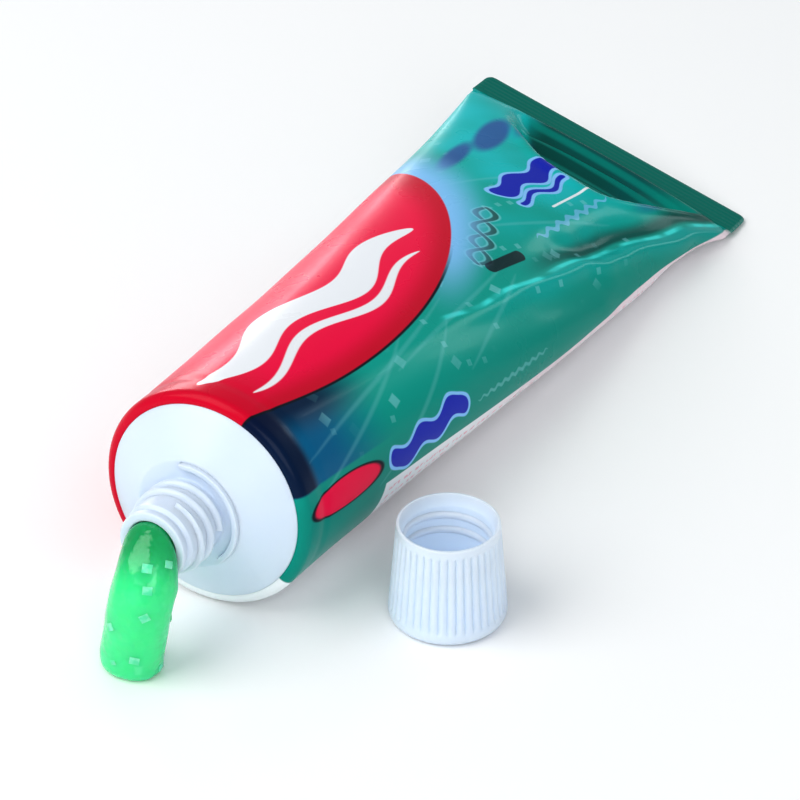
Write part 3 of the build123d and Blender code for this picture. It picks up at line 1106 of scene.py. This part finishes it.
@dataclass
class Sleeve:
    """The laminate sleeve: curled at the shoulder, squeezed near the tail and crimped flat."""

    axis: TubeAxis
    segments: int = 240
    step: float = 0.8
    curl: float = 1.55
    taper: float = 0.645
    taper_ease: float = 0.02
    close_power: float = 14.0
    close_root: float = 0.48
    crimp_edge: float = 0.28
    body_margin: float = 0.3
    belly: tuple[float, float] = (0.16, 0.78)
    uv_name: str = "print"
    ridge: tuple[tuple[float, float], ...] = (
        (0.0, 11.0),
        (30.0, 12.0),
        (50.0, 13.0),
        (70.0, 14.5),
        (90.0, 17.0),
        (98.0, 19.4),
        (104.0, 20.2),
        (122.0, 24.0),
        (135.0, 27.0),
    )

    def __post_init__(self) -> None:
        """Work out the sizes that follow."""
        self.body = self.axis.length - self.axis.crimp_length
        self.girth = math.tau * self.axis.radius
        self.stiff_share = self.axis.stiff_length / self.body
        self._known: dict[float, tuple[float, float, float]] = {}

    def _flat_half_width(self, half_thickness: float) -> float:
        """Find the half width at which an oval of a half thickness keeps the girth.

        Args:
            half_thickness: The oval's half thickness.

        Returns:
            Its half width.
        """
        low, high = self.axis.radius, 1.6 * self.axis.radius
        for _ in range(40):
            middle = (low + high) / 2
            root = math.sqrt((3 * middle + half_thickness) * (middle + 3 * half_thickness))
            if 3 * (middle + half_thickness) - root > 2 * self.axis.radius:
                high = middle
            else:
                low = middle
        return (low + high) / 2

    def sizes(self, share: float) -> tuple[float, float, float]:
        """Give the half width and the upper and lower half thickness at a share of the body.

        Args:
            share: Share of the body's length, from the rim.

        Returns:
            The three sizes.
        """
        if share in self._known:
            return self._known[share]
        run = max(share - self.stiff_share, 0.0) / (1 - self.stiff_share)
        eased = run**2 / (run + self.taper_ease)
        closing = max(1 - run**self.close_power, 0.0) ** self.close_root
        rise = self.axis.radius * (1 - self.taper * eased) * closing
        rise = max(rise, self.crimp_edge)
        half_width = min(self._flat_half_width(rise), self.axis.crimp_half_width - self.body_margin)
        turn = math.radians(self.axis.twist * share)
        lying = smooth_step(share, 0.03, self.belly[0]) * (1 - smooth_step(share, self.belly[1], 0.96))
        down = self.axis.place(0.0, 0.0, share * self.body).z / math.cos(self.axis.slope) + 0.4 * lying
        touching = math.sqrt(max(down**2 - (half_width * math.sin(turn)) ** 2, rise**2)) / math.cos(turn)
        self._known[share] = (half_width, rise, rise + lying * max(touching - rise, 0.0))
        return self._known[share]

    def sink(self, across: float, along: float) -> float:
        """Give how far the skin is pressed in at a place on the print.

        Args:
            across: Place across the girth from the front panel's middle.
            along: Place along the tube.

        Returns:
            The depth; below 0 it stands out.
        """
        if along < 2.0 or along > self.body:
            return 0.0
        fade = smooth_step(along, 2.0, 9.0) * (1 - smooth_step(along, self.body - 5.0, self.body - 0.5))
        ridge = along_table(along, self.ridge)
        near = smooth_step(along, 40.0, 95.0)
        depth = -(0.15 + 0.75 * near) * bell(across - ridge, 1.4)
        depth += (0.15 + 2.3 * bell(along - 101.0, 16.0)) * bell(across - ridge + 4.6, 3.6)
        depth += 1.1 * near * bell(across - ridge - 5.0, 4.2)
        behind = along - self.crease(across)
        rise = self.sizes(along / self.body)[1]
        inner = 1 - smooth_step(abs(across - 4.0), 16.0, 22.5)
        fold = smooth_step(behind, -0.7, 4.6) * inner
        depth += fold * (0.70 * rise + 0.8)
        depth -= 0.45 * bell(behind + 1.4, 1.5) * inner
        for along_fold, height, width in ((129.6, 1.0, 1.1), (126.4, -0.7, 1.2), (123.4, 0.6, 1.0)):
            depth -= fold * height * bell(along - along_fold - 0.02 * across, width)
        soft = noise.noise(Vector((across * 0.06, along * 0.045, 3.7)))
        depth += 0.30 * soft * (1 - smooth_step(abs(across), 34.0, 46.0))
        seam = 0.20 * bell(along - 5.2, 0.8)
        return depth * fade + seam * (1 - smooth_step(abs(across), 30.0, 40.0))

    def crease(self, across: float) -> float:
        """Give where along the tube the front panel folds in before the crimp."""
        off = across - 5.0
        return 113.0 + (0.072 if off > 0 else 0.030) * off * off + 0.30 * math.sin(0.45 * across)

    def outline(self, along: float, inset: float) -> Ring:
        """Give the ring of points round the body at a place along it.

        Args:
            along: Place along the tube from the rim.
            inset: How far inside the skin the ring lies.

        Returns:
            The points, at equal shares of the girth from the back.
        """
        share = along / self.body
        half_width, rise, sag = self.sizes(share)
        turn = math.radians(self.axis.twist * share)
        samples = 3 * self.segments
        flat: list[tuple[Vector, Vector]] = []
        for index in range(samples + 1):
            angle = math.tau * index / samples - math.pi
            height = rise if math.cos(angle) >= 0 else sag
            point = Vector((half_width * math.sin(angle), height * math.cos(angle)))
            normal = Vector((math.sin(angle) / half_width, math.cos(angle) / height)).normalized()
            spin = Matrix.Rotation(turn, 2)
            flat.append((spin @ point, spin @ normal))
        places = [self.axis.place(point.x, point.y, along) for point, _ in flat]
        for place in places:
            place.z = max(place.z, 0.0)
        runs = [0.0]
        for first, second in zip(places, places[1:]):
            runs.append(runs[-1] + (second - first).length)
        middle = runs[samples // 2]
        ring: Ring = []
        cursor = 0
        for index in range(self.segments):
            target = (middle + (index / self.segments - 0.5) * runs[-1]) % runs[-1]
            if target < runs[cursor]:
                cursor = 0
            while runs[cursor + 1] < target:
                cursor += 1
            mix = (target - runs[cursor]) / (runs[cursor + 1] - runs[cursor])
            place = places[cursor].lerp(places[cursor + 1], mix)
            normal = flat[cursor][1].lerp(flat[cursor + 1][1], mix).normalized()
            pushed = self.sink((index / self.segments - 0.5) * self.girth, along) + inset
            place = place - (self.axis.side * normal.x + self.axis.up * normal.y) * pushed
            place.z = max(place.z, inset)
            ring.append(place * MM)
        return ring

    def _curled(self, degrees: float, inset: float) -> Ring:
        """Give the ring of the curled front edge at a turn of the curl.

        Args:
            degrees: The turn of the curl.
            inset: How far inside the skin the ring lies.

        Returns:
            The points.
        """
        turn = math.radians(degrees)
        small = self.curl - inset
        radius = self.axis.radius - self.curl + small * math.cos(turn)
        along = self.curl - small * math.sin(turn)
        return self._circle(radius, along)

    def _circle(self, radius: float, along: float) -> Ring:
        """Give a round ring about the axis, in the outline's order."""
        angles = (math.tau * index / self.segments - math.pi for index in range(self.segments))
        return [self.axis.place(radius * math.sin(a), radius * math.cos(a), along) * MM for a in angles]

    def _crimp(self, along: float) -> Ring:
        """Give the ring round the flat crimp, whose end corners are rounded.

        Args:
            along: Place along the tube.

        Returns:
            The points.
        """
        turn = math.radians(self.axis.twist)
        end = self.axis.length - along
        corner = 1.6
        cut = corner - math.sqrt(max(corner**2 - max(corner - end, 0.0) ** 2, 0.0))
        half_width = self.axis.crimp_half_width - 0.55 * cut
        ring: Ring = []
        for index in range(self.segments):
            share = index / self.segments - 0.5
            top = abs(share) <= 0.25
            across = 4 * share if top else math.copysign(2.0, share) - 4 * share
            edge = 1 - max(abs(across) - 0.992, 0.0) / 0.008
            thick = self.axis.wall * (0.35 + 0.65 * math.sqrt(max(1 - (1 - edge) ** 2, 0.0)))
            thick *= 1 - 0.35 * (1 - smooth_step(end, 0.0, 0.35))
            point = Matrix.Rotation(turn, 2) @ Vector((across * half_width, thick if top else -thick))
            place = self.axis.place(point.x, point.y, along)
            place.z = max(place.z, 0.0)
            ring.append(place * MM)
        return ring

    def build(self) -> bpy.types.Object:
        """Make the sleeve's mesh: the skin from its crimp to its curl, then the inside back again.

        Returns:
            The sleeve.
        """
        mesh = RingMesh(self.segments)
        backs = (0.0, 0.12, 0.35, 0.7, 1.2, 1.8, 3.0, 4.5, 6.0, 6.7)
        crimp_rows = [self.axis.length - back for back in backs]
        mesh.start(self._crimp(crimp_rows[0]), crimp_rows[0])
        mesh.close()
        for along in crimp_rows[1:]:
            mesh.add(self._crimp(along), along)
        count = round((self.body - self.curl) / self.step)
        rows = [self.body - (self.body - self.curl) * index / count for index in range(count + 1)]
        rows[0] = self.body - 0.05
        for along in rows:
            mesh.add(self.outline(along, 0.0), along)
        for degrees in range(10, 100, 10):
            mesh.add(self._curled(degrees, 0.0), self.curl * (1 - math.sin(math.radians(degrees))))
        inner_edge = self.axis.radius - self.curl
        mesh.add(self._circle(inner_edge - 0.16, 0.05), 0.0)
        mesh.add(self._circle(inner_edge - 0.20, 0.20), 0.0)
        for degrees in range(90, -10, -15):
            mesh.add(self._curled(degrees, self.axis.wall), 0.0)
        inside = [self.curl + 1.5, *(self.curl + 4.0 * index for index in range(1, 28))]
        for along in inside:
            mesh.add(self.outline(along, self.axis.wall), along)
        mesh.close()
        mesh.write_uv(self.uv_name, self.axis.length)
        made = finish_mesh(mesh.bm, "printed_sleeve", 50.0)
        finish = PrintedLaminate(self.girth, self.axis.length, self.body)
        # the laminate's colour holds painted shade and a painted glint at the tail and the ridge
        made.data.materials.append(finish.material("printed_laminate_painted_shade", self.uv_name))
        return made


# ---------------------------------------------------------------- the nozzle head


@dataclass
class NozzleHead:
    """The moulded shoulder with its threaded neck and stop collar."""

    axis: TubeAxis
    steps: int = 144
    cone: float = 4.3
    flat_radius: float = 8.7
    neck_root: float = 5.75
    neck_crest: float = 6.55
    bore: float = 4.0
    mouth: float = 14.7
    lip: float = 5.45
    groove: float = 5.2
    pitch: float = 2.6
    turns: float = 2.2
    stop_radius: float = 8.5
    stop_width: float = 0.9
    stop_height: float = 0.8
    stop_start: float = -48.0
    stop_sweep: float = 148.0

    def _corners(self) -> list[tuple[float, float, float]]:
        """Give the head's profile from the inside of its skirt over the shoulder and back in.

        Returns:
            Each corner's radius, distance ahead of the rim and rounding.
        """
        edge = self.axis.radius - 1.75
        outer = self.axis.radius - 0.45
        return [
            (outer - 1.0, -4.5, 0.0),
            (outer, -4.5, 0.2),
            (outer, -1.2, 0.8),
            (edge, -0.35, 0.0),
            (edge, 0.0, 0.12),
            (self.flat_radius, self.cone, 1.1),
            (self.neck_root, self.cone, 0.45),
            (self.neck_root, 12.7, 0.25),
            (self.groove, 13.2, 0.15),
            (self.groove, 13.7, 0.1),
            (self.lip, 13.75, 0.12),
            (self.lip, self.mouth, 0.34),
            (self.bore, self.mouth, 0.34),
            (self.bore, 3.0, 0.4),
            (7.9, 2.9, 1.0),
            (outer - 1.0, -1.2, 0.6),
            (outer - 1.0, -4.5, 0.0),
        ]

    def _spun(
        self, bm: bmesh.types.BMesh, points: Iterable[Vector], degrees: float, steps: int, rise: float = 0.0
    ) -> None:
        """Spin a path of points about the tube's axis.

        Args:
            bm: The mesh to add to.
            points: The path, in metres.
            degrees: How far it turns, anticlockwise as seen from the mouth.
            steps: Steps of the turn.
            rise: How far it moves towards the mouth in each step, in metres.
        """
        verts = [bm.verts.new(point) for point in points]
        edges = [bm.edges.new(pair) for pair in zip(verts, verts[1:])]
        bmesh.ops.spin(
            bm,
            geom=verts + edges,
            cent=self.axis.rim * MM,
            axis=-self.axis.tail,
            dvec=-self.axis.tail * rise,
            angle=math.radians(degrees),
            steps=steps,
            use_merge=degrees == 360.0,
        )

    def build(self) -> bpy.types.Object:
        """Make the head's mesh.

        Returns:
            The head.
        """
        bm = bmesh.new()
        path = rounded_path(self._corners())
        points = [self.axis.turned(radius, 0.0, ahead) * MM for radius, ahead in path]
        self._spun(bm, points, 360.0, self.steps)
        self._add_stop(bm)
        self._add_thread(bm)
        made = finish_mesh(bm, "nozzle_head", 60.0)
        made.data.materials.append(MouldedPlastic().material("head_plastic"))
        return made

    def _add_stop(self, bm: bmesh.types.BMesh) -> None:
        """Add the collar, part of a turn, that the cap seats against.

        Args:
            bm: The mesh to add to.
        """
        outer, inner = self.stop_radius, self.stop_radius - self.stop_width
        low, high = self.cone - 0.3, self.cone + self.stop_height
        corners = [(inner, low, 0.0), (inner, high, 0.25), (outer, high, 0.25), (outer, low, 0.0)]
        path = rounded_path(corners, 5)
        points = [self.axis.turned(radius, self.stop_start, ahead) * MM for radius, ahead in path]
        known = set(bm.verts)
        self._spun(bm, points, self.stop_sweep, 60)
        self._cap_ends(bm, known)

    def _add_thread(self, bm: bmesh.types.BMesh) -> None:
        """Add the rounded thread, which fades in and out at its ends.

        Args:
            bm: The mesh to add to.
        """
        start = self.cone + 1.2
        base = self.neck_root - 0.25
        crest = self.neck_crest
        path: list[tuple[float, float]] = []
        for index in range(11):
            share = index / 10
            swell = math.sin(math.pi * share) ** 0.55 if 0 < share < 1 else 0.0
            path.append((base + (crest - base) * swell, start + (share - 0.5) * 1.55))
        path.append(path[0])
        steps = round(72 * self.turns)
        known = set(bm.verts)
        points = [self.axis.turned(radius, 0.0, ahead) * MM for radius, ahead in path]
        self._spun(bm, points, 360.0 * self.turns, steps, self.pitch * self.turns / steps * MM)
        foot = self.axis.rim - self.axis.tail * start
        fade_ridge(set(bm.verts) - known, foot, -self.axis.tail, self.pitch, self.turns, base)
        self._cap_ends(bm, known)

    def _cap_ends(self, bm: bmesh.types.BMesh, known: set[bmesh.types.BMVert]) -> None:
        """Merge a spun ridge's doubled points, then fill every hole left in the mesh."""
        bmesh.ops.remove_doubles(bm, verts=[vert for vert in bm.verts if vert not in known], dist=1e-7)
        bmesh.ops.holes_fill(bm, edges=[edge for edge in bm.edges if edge.is_boundary], sides=0)


# ---------------------------------------------------------------- the gel


@dataclass
class Gel:
    """The gel: what fills the sleeve, and the ribbon that has run out of the nozzle."""

    axis: TubeAxis
    sleeve: Sleeve
    segments: int = 72
    bore: float = 3.85
    # shift to the side, distance ahead of the mouth, height above the floor, degrees below level,
    # half width and half depth
    path: tuple[tuple[float, float, float, float, float, float], ...] = (
        (0.00, 0.00, 18.90, -4.0, 3.90, 3.90),
        (0.35, 0.75, 18.30, 9.0, 4.50, 4.00),
        (1.08, 3.02, 16.05, 45.0, 4.78, 4.12),
        (1.05, 4.45, 13.40, 72.0, 4.86, 4.12),
        (0.50, 4.90, 10.30, 90.0, 4.90, 4.10),
        (-0.35, 4.92, 6.20, 90.0, 4.88, 4.08),
        (-1.10, 4.90, 2.40, 90.0, 4.86, 4.06),
        (-1.12, 4.86, 0.90, 90.0, 4.72, 3.92),
        (-1.10, 4.82, 0.15, 90.0, 4.30, 3.50),
    )

    def _mouth(self) -> Vector:
        """Give the middle of the nozzle's mouth, in millimetres."""
        return self.axis.place(0.0, 0.0, -14.7)

    def _section(self, key: Sequence[float], place: float) -> Ring:
        """Give the ring of the ribbon for one row of sizes.

        Args:
            key: The row, as in path.
            place: How far along the ribbon it is, for its slight unevenness.

        Returns:
            The points.
        """
        shift, reach, height, drop, half_width, half_depth = key
        mouth = self._mouth()
        centre = Vector((mouth.x + shift, mouth.y - reach, height))
        turn = math.radians(drop)
        out = Vector((0.0, -math.sin(turn), math.cos(turn)))
        level = smooth_step(place, 0.06, 0.30)
        ring: Ring = []
        for index in range(self.segments):
            angle = math.tau * index / self.segments - math.pi
            uneven = noise.noise(Vector((2.1 * math.sin(angle), 2.1 * math.cos(angle), place * 5.0 + 1.3)))
            scale = 1 - level * (0.012 + 0.045 * max(uneven, -0.25))
            across = half_width * scale * math.sin(angle)
            square = abs(math.cos(angle)) ** (1 - 0.12 * level)
            depth = half_depth * scale * math.copysign(square, math.cos(angle))
            point = centre + Vector((across, 0.0, 0.0)) + out * depth
            point.z = max(point.z, 0.0)
            ring.append(point * MM)
        return ring

    def _smooth_key(self, place: float) -> list[float]:
        """Read the ribbon's sizes at a share of its rows, on a smooth curve through them.

        Args:
            place: The share of the rows.

        Returns:
            The sizes there, as in path.
        """
        last = len(self.path) - 1
        index = min(int(place * last), last - 1)
        share = place * last - index
        rows = [self.path[min(max(index + offset, 0), last)] for offset in (-1, 0, 1, 2)]
        made: list[float] = []
        for before, first, second, after in zip(*rows):
            slope_in, slope_out = (second - before) / 2, (after - first) / 2
            square, cube = share**2, share**3
            made.append(
                first * (2 * cube - 3 * square + 1)
                + slope_in * (cube - 2 * square + share)
                + second * (3 * square - 2 * cube)
                + slope_out * (cube - square)
            )
        return made

    def _round(self, radius: float, ahead: float) -> Ring:
        """Give a round ring about the tube's axis."""
        angles = (math.tau * index / self.segments - math.pi for index in range(self.segments))
        return [self.axis.place(radius * math.sin(a), radius * math.cos(a), -ahead) * MM for a in angles]

    def _filling(self, along: float) -> Ring:
        """Give a ring just inside the sleeve, with the gel's own number of points.

        Args:
            along: Place along the tube.

        Returns:
            The points.
        """
        ring = self.sleeve.outline(along, 0.75)
        step = len(ring) / self.segments
        return [ring[int(index * step)] for index in range(self.segments)]

    def build(self) -> bpy.types.Object:
        """Make one closed mesh from the tail through the neck to the ribbon's foot.

        Returns:
            The gel.
        """
        mesh = RingMesh(self.segments)
        rows = [106.0 - 4.0 * index for index in range(26)]
        mesh.start(self._filling(rows[0]))
        mesh.close()
        for along in rows[1:]:
            mesh.add(self._filling(along))
        for radius, ahead in ((15.4, -5.0), (15.0, -1.0), (12.0, 0.8), (7.4, 2.6), (4.4, 2.9), (3.85, 4.0)):
            mesh.add(self._round(radius, ahead))
        for ahead in (6.0, 8.0, 10.0, 12.0, 13.4, 14.3):
            mesh.add(self._round(self.bore, ahead))
        count = 72
        for index in range(count + 1):
            place = index / count
            mesh.add(self._section(self._smooth_key(place), place))
        foot = self.path[-1]
        mesh.add(self._section((*foot[:2], 0.0, 90.0, foot[4] * 0.82, foot[5] * 0.80), 1.0))
        mesh.close()
        made = finish_mesh(mesh.bm, "gel_ribbon", 70.0)
        made.data.materials.append(WetGel().material("wet_gel", self._mouth() * MM))
        return made

    def flakes(self) -> bpy.types.Object:
        """Make the small film flakes that lie in the ribbon's skin.

        Returns:
            The flakes, as one piece.
        """
        bm = bmesh.new()
        # share along the ribbon, degrees round it from its front, size, and turn
        for place, degrees, size, turn in (
            (0.235, 20.0, 1.55, 12.0),
            (0.31, 30.0, 1.45, 8.0),
            (0.43, 34.0, 1.45, 30.0),
            (0.19, 58.0, 1.30, 25.0),
            (0.53, -28.0, 1.40, 38.0),
            (0.68, 30.0, 1.50, -10.0),
            (0.72, -10.0, 0.90, 20.0),
            (0.82, 96.0, 1.30, 10.0),
            (0.52, 118.0, 1.35, 33.0),
            (0.68, 158.0, 1.40, 22.0),
            (0.58, -150.0, 1.30, 44.0),
        ):
            self._add_flake(bm, place, degrees, size, turn)
        made = finish_mesh(bm, "gel_flakes", 30.0)
        made.data.materials.append(FilmFlake().material("film_flake"))
        return made

    def _add_flake(
        self, bm: bmesh.types.BMesh, place: float, degrees: float, size: float, turn: float
    ) -> None:
        """Lay one thin flake on the ribbon's skin.

        Args:
            bm: The mesh to add to.
            place: Share along the ribbon.
            degrees: Turn round the ribbon from its front.
            size: The flake's longer side.
            turn: Its turn on the skin, in degrees.
        """
        nearby = self._section(self._smooth_key(place), place)
        ahead = self._section(self._smooth_key(place + 0.01), place + 0.01)
        index = round((degrees + 180.0) / 360.0 * self.segments) % self.segments
        here, beside = nearby[index], nearby[(index + 1) % self.segments]
        first = (beside - here).normalized()
        second = (ahead[index] - here).normalized()
        normal = first.cross(second).normalized()
        centre = sum(nearby, Vector()) / len(nearby)
        if normal.dot(here - centre) < 0:
            normal = -normal
        second = normal.cross(first)
        base = Matrix((first, second, normal)).transposed().to_4x4()
        sunk = Matrix.Translation(here - normal * 0.02 * MM)
        shape = Matrix.Diagonal((size * MM, size * 0.86 * MM, 0.12 * MM, 1.0))
        turned = Matrix.Rotation(math.radians(turn), 4, "Z")
        made = bmesh.ops.create_cube(bm, size=1.0, matrix=sunk @ base @ turned @ shape)
        edges = {edge for vert in made["verts"] for edge in vert.link_edges}
        bmesh.ops.bevel(
            bm, geom=list(edges), offset=0.03 * MM, segments=2, profile=0.5, affect="EDGES", material=-1
        )


# ---------------------------------------------------------------- the cap


@dataclass
class ScrewCap:
    """The fluted screw cap, stood on its closed end."""

    place: Vector
    height: float = 16.5
    base: float = 9.07
    mouth: float = 7.7
    socket: float = 6.7
    recess: float = 3.8
    recess_length: float = 4.2
    floor_height: float = 1.9
    flutes: int = 40
    per_flute: int = 12
    flute_depth: float = 0.40
    band: float = 1.3
    foot: float = 2.2
    pitch: float = 2.6
    thread_turns: float = 1.75
    thread_lead: float = 2.4

    def _finish(self) -> MouldedPlastic:
        """Give the cap's plastic, with a painted glow in the bore that stands in for light through its thin
        wall.
        """
        return MouldedPlastic(glow=0.6, depth=0.003, painted_bore_glow=0.10, axis=self.place, bore=self.socket * MM)

    def _outer(self, height: float) -> float:
        """Give the outside radius at a height."""
        return self.base + (self.mouth - self.base) * height / self.height

    def _ring(self, radius: float, height: float, fluted: float) -> Ring:
        """Give a ring round the cap.

        Args:
            radius: Its radius to the crest of a rib.
            height: Its height above the floor.
            fluted: Share of the flutes' depth that it has.

        Returns:
            The points.
        """
        count = self.flutes * self.per_flute
        ring: Ring = []
        for index in range(count):
            turn = math.tau * index / count
            rib = abs(math.sin(turn * self.flutes / 2)) ** 0.75
            reach = radius - fluted * self.flute_depth * (1 - rib)
            ring.append(self.place + Vector((reach * math.cos(turn), reach * math.sin(turn), height)) * MM)
        return ring

    def build(self) -> bpy.types.Object:
        """Make the cap's mesh, from the middle of its base outside, over its mouth and inside.

        Returns:
            The cap.
        """
        mesh = RingMesh(self.flutes * self.per_flute)
        foot = [(self.base * 0.4, 0.0, 0.0), (self.base, 0.0, 1.6), (self._outer(2.0), 2.0, 0.0)]
        outside = rounded_path(foot, 10)
        mesh.start(self._ring(*outside[0], 0.0))
        mesh.close()
        for radius, height in outside[1:-1]:
            mesh.add(self._ring(radius, height, 0.0))
        low, high = self.foot, self.height - self.band
        for height, fluted in (
            (low - 0.25, 0.0),
            (low, 0.25),
            (low + 0.25, 0.75),
            (low + 0.6, 1.0),
            ((low + high) / 2, 1.0),
            (high - 0.6, 1.0),
            (high - 0.25, 0.75),
            (high, 0.25),
            (high + 0.2, 0.0),
        ):
            mesh.add(self._ring(self._outer(height), height, fluted))
        well = self.floor_height
        floor = well + self.recess_length
        inside = rounded_path(
            [
                (self._outer(self.height - 0.6), self.height - 0.6, 0.0),
                (self.mouth, self.height, 0.30),
                (self.socket + 0.55, self.height, 0.14),
                (self.socket, self.height - 1.9, 0.8),
                (self.socket, floor, 0.5),
                (self.recess, floor, 0.25),
                (self.recess, well, 0.5),
                (self.recess * 0.3, well, 0.0),
            ],
            6,
        )
        for radius, height in inside:
            mesh.add(self._ring(radius, height, 0.0))
        mesh.close()
        made = finish_mesh(mesh.bm, "screw_cap", 60.0)
        made.data.materials.append(self._finish().material("cap_plastic_with_painted_glow"))
        return made

    def thread(self) -> bpy.types.Object:
        """Make the rounded thread inside the cap's bore.

        Returns:
            The thread.
        """
        bm = bmesh.new()
        start = self.height - self.thread_lead - self.pitch * self.thread_turns
        points = []
        for index in range(9):
            share = index / 8
            swell = math.sin(math.pi * share) ** 0.6 if 0 < share < 1 else 0.0
            reach, height = self.socket + 0.2 - 0.60 * swell, start + (share - 0.5) * 1.5
            points.append(self.place + Vector((reach, 0.0, height)) * MM)
        verts = [bm.verts.new(point) for point in points]
        edges = [bm.edges.new(pair) for pair in zip(verts, [*verts[1:], verts[0]])]
        steps = round(72 * self.thread_turns)
        rise = Vector((0.0, 0.0, self.pitch * self.thread_turns / steps * MM))
        bmesh.ops.spin(
            bm,
            geom=verts + edges,
            cent=self.place,
            axis=(0.0, 0.0, 1.0),
            dvec=rise,
            angle=math.tau * self.thread_turns,
            steps=steps,
            use_merge=False,
        )
        foot = self.place / MM + Vector((0.0, 0.0, start))
        fade_ridge(bm.verts, foot, Vector((0.0, 0.0, 1.0)), self.pitch, self.thread_turns, self.socket + 0.2)
        bmesh.ops.holes_fill(bm, edges=[edge for edge in bm.edges if edge.is_boundary], sides=0)
        made = finish_mesh(bm, "cap_thread", 60.0)
        # the thread inside the bore shares the painted glow
        made.data.materials.append(self._finish().material("cap_thread_plastic_with_painted_glow"))
        return made


# ---------------------------------------------------------------- the studio


@dataclass
class Studio:
    """Floor, lights and camera."""

    ground: Vector
    camera_place: Vector = field(default_factory=lambda: Vector((216.78, -336.58, 299.93)))
    back: Vector = field(default_factory=lambda: Vector((0.3992, -0.7328, 0.5511)))
    roll: float = -0.09
    lens: float = 149.67

    def floor(self) -> bpy.types.Object:
        """Lay the floor.

        Returns:
            The floor.
        """
        bm = bmesh.new()
        bmesh.ops.create_grid(bm, x_segments=4, y_segments=4, size=3.0)
        bmesh.ops.translate(bm, verts=bm.verts, vec=(0.0, 0.0, -0.00005))
        made = finish_mesh(bm, "studio_floor")
        made.data.materials.append(StudioFloor().material("floor_paint"))
        return made

    def light(self, name: str, place: Vector, aim: Vector, size: float, power: float, colour: Colour) -> None:
        """Hang one soft area light.

        Args:
            name: Its name.
            place: Where it hangs.
            aim: What it points at.
            size: Its side.
            power: Its power in watts.
            colour: Its colour.
        """
        data = bpy.data.lights.new(name, "AREA")
        data.shape = "SQUARE"
        data.size = size
        data.energy = power
        data.color = colour
        made = bpy.data.objects.new(name, data)
        bpy.context.scene.collection.objects.link(made)
        made.location = place
        made.rotation_mode = "QUATERNION"
        made.rotation_quaternion = (aim - place).to_track_quat("-Z", "Y")

    def lights(self) -> None:
        """Light the room evenly, with one key light and one behind."""
        world = bpy.data.worlds.new("studio_world")
        world.use_nodes = True
        back = world.node_tree.nodes["Background"]
        back.inputs[0].default_value = (0.93, 0.97, 1.0, 1.0)
        back.inputs[1].default_value = 0.46
        bpy.context.scene.world = world
        middle = Vector((0.0, 0.0, 0.015))
        self.light("key_light", Vector((-0.45, -0.55, 0.85)), middle, 0.9, 7.0, (1.0, 0.99, 0.98))
        self.light("back_light", Vector((0.33, 0.95, 0.35)), middle, 0.30, 1.1, (0.90, 0.98, 1.0))
        self.light("side_light", Vector((-0.85, 0.75, 0.16)), middle, 0.45, 3.0, (1.0, 0.98, 0.99))
        self.light("front_light", Vector((0.55, -0.75, 0.55)), middle, 0.7, 3.6, (1.0, 1.0, 1.0))

    def camera(self) -> bpy.types.Object:
        """Set up the camera.

        Returns:
            The camera.
        """
        data = bpy.data.cameras.new("studio_camera")
        data.lens = self.lens
        data.sensor_width = 36.0
        data.clip_start, data.clip_end = 0.01, 20.0
        made = bpy.data.objects.new("studio_camera", data)
        bpy.context.scene.collection.objects.link(made)
        made.location = (self.ground + self.camera_place) * MM
        made.rotation_mode = "QUATERNION"
        tilt = Quaternion((0.0, 0.0, 1.0), math.radians(self.roll))
        made.rotation_quaternion = (-self.back).to_track_quat("-Z", "Y") @ tilt
        bpy.context.scene.camera = made
        return made


# ---------------------------------------------------------------- the whole scene


def show(piece: bpy.types.Object, slot: str, *stands_for: str) -> None:
    """Give a piece its body, hide the CAD nodes that it stands for, and report it.

    Args:
        piece: The piece.
        slot: The record's material slot; not used.
        *stands_for: CAD nodes that it replaces.
    """
    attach(piece, "root")
    if stands_for:
        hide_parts(*stands_for)
    LOG.info("%s: %d faces", piece.name, len(piece.data.polygons))


def main() -> None:
    """Build the pieces in order, then the studio, and note the sizes."""
    logging.basicConfig(level=logging.INFO, format="%(message)s")
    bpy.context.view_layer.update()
    mounts = {mount["name"]: mount for mount in frame["record"]["mounts"]}
    cap_place = Vector(mounts["cap_base"]["pos_m"])
    axis = TubeAxis(cap_place)
    sleeve = Sleeve(axis)
    show(sleeve.build(), "laminate", "sleeve")
    show(NozzleHead(axis).build(), "white_plastic", "head")
    gel = Gel(axis, sleeve)
    show(gel.build(), "gel", "gel")
    show(gel.flakes(), "gel")
    cap = ScrewCap(cap_place)
    show(cap.build(), "white_plastic", "cap")
    show(cap.thread(), "white_plastic")
    studio = Studio(axis.ground)
    studio.floor()
    studio.lights()
    studio.camera()
    display = bpy.context.scene.view_settings
    display.view_transform = "Standard"
    display.exposure, display.gamma = DISPLAY_EXPOSURE, DISPLAY_GAMMA


if __name__ == "__main__":
    main()
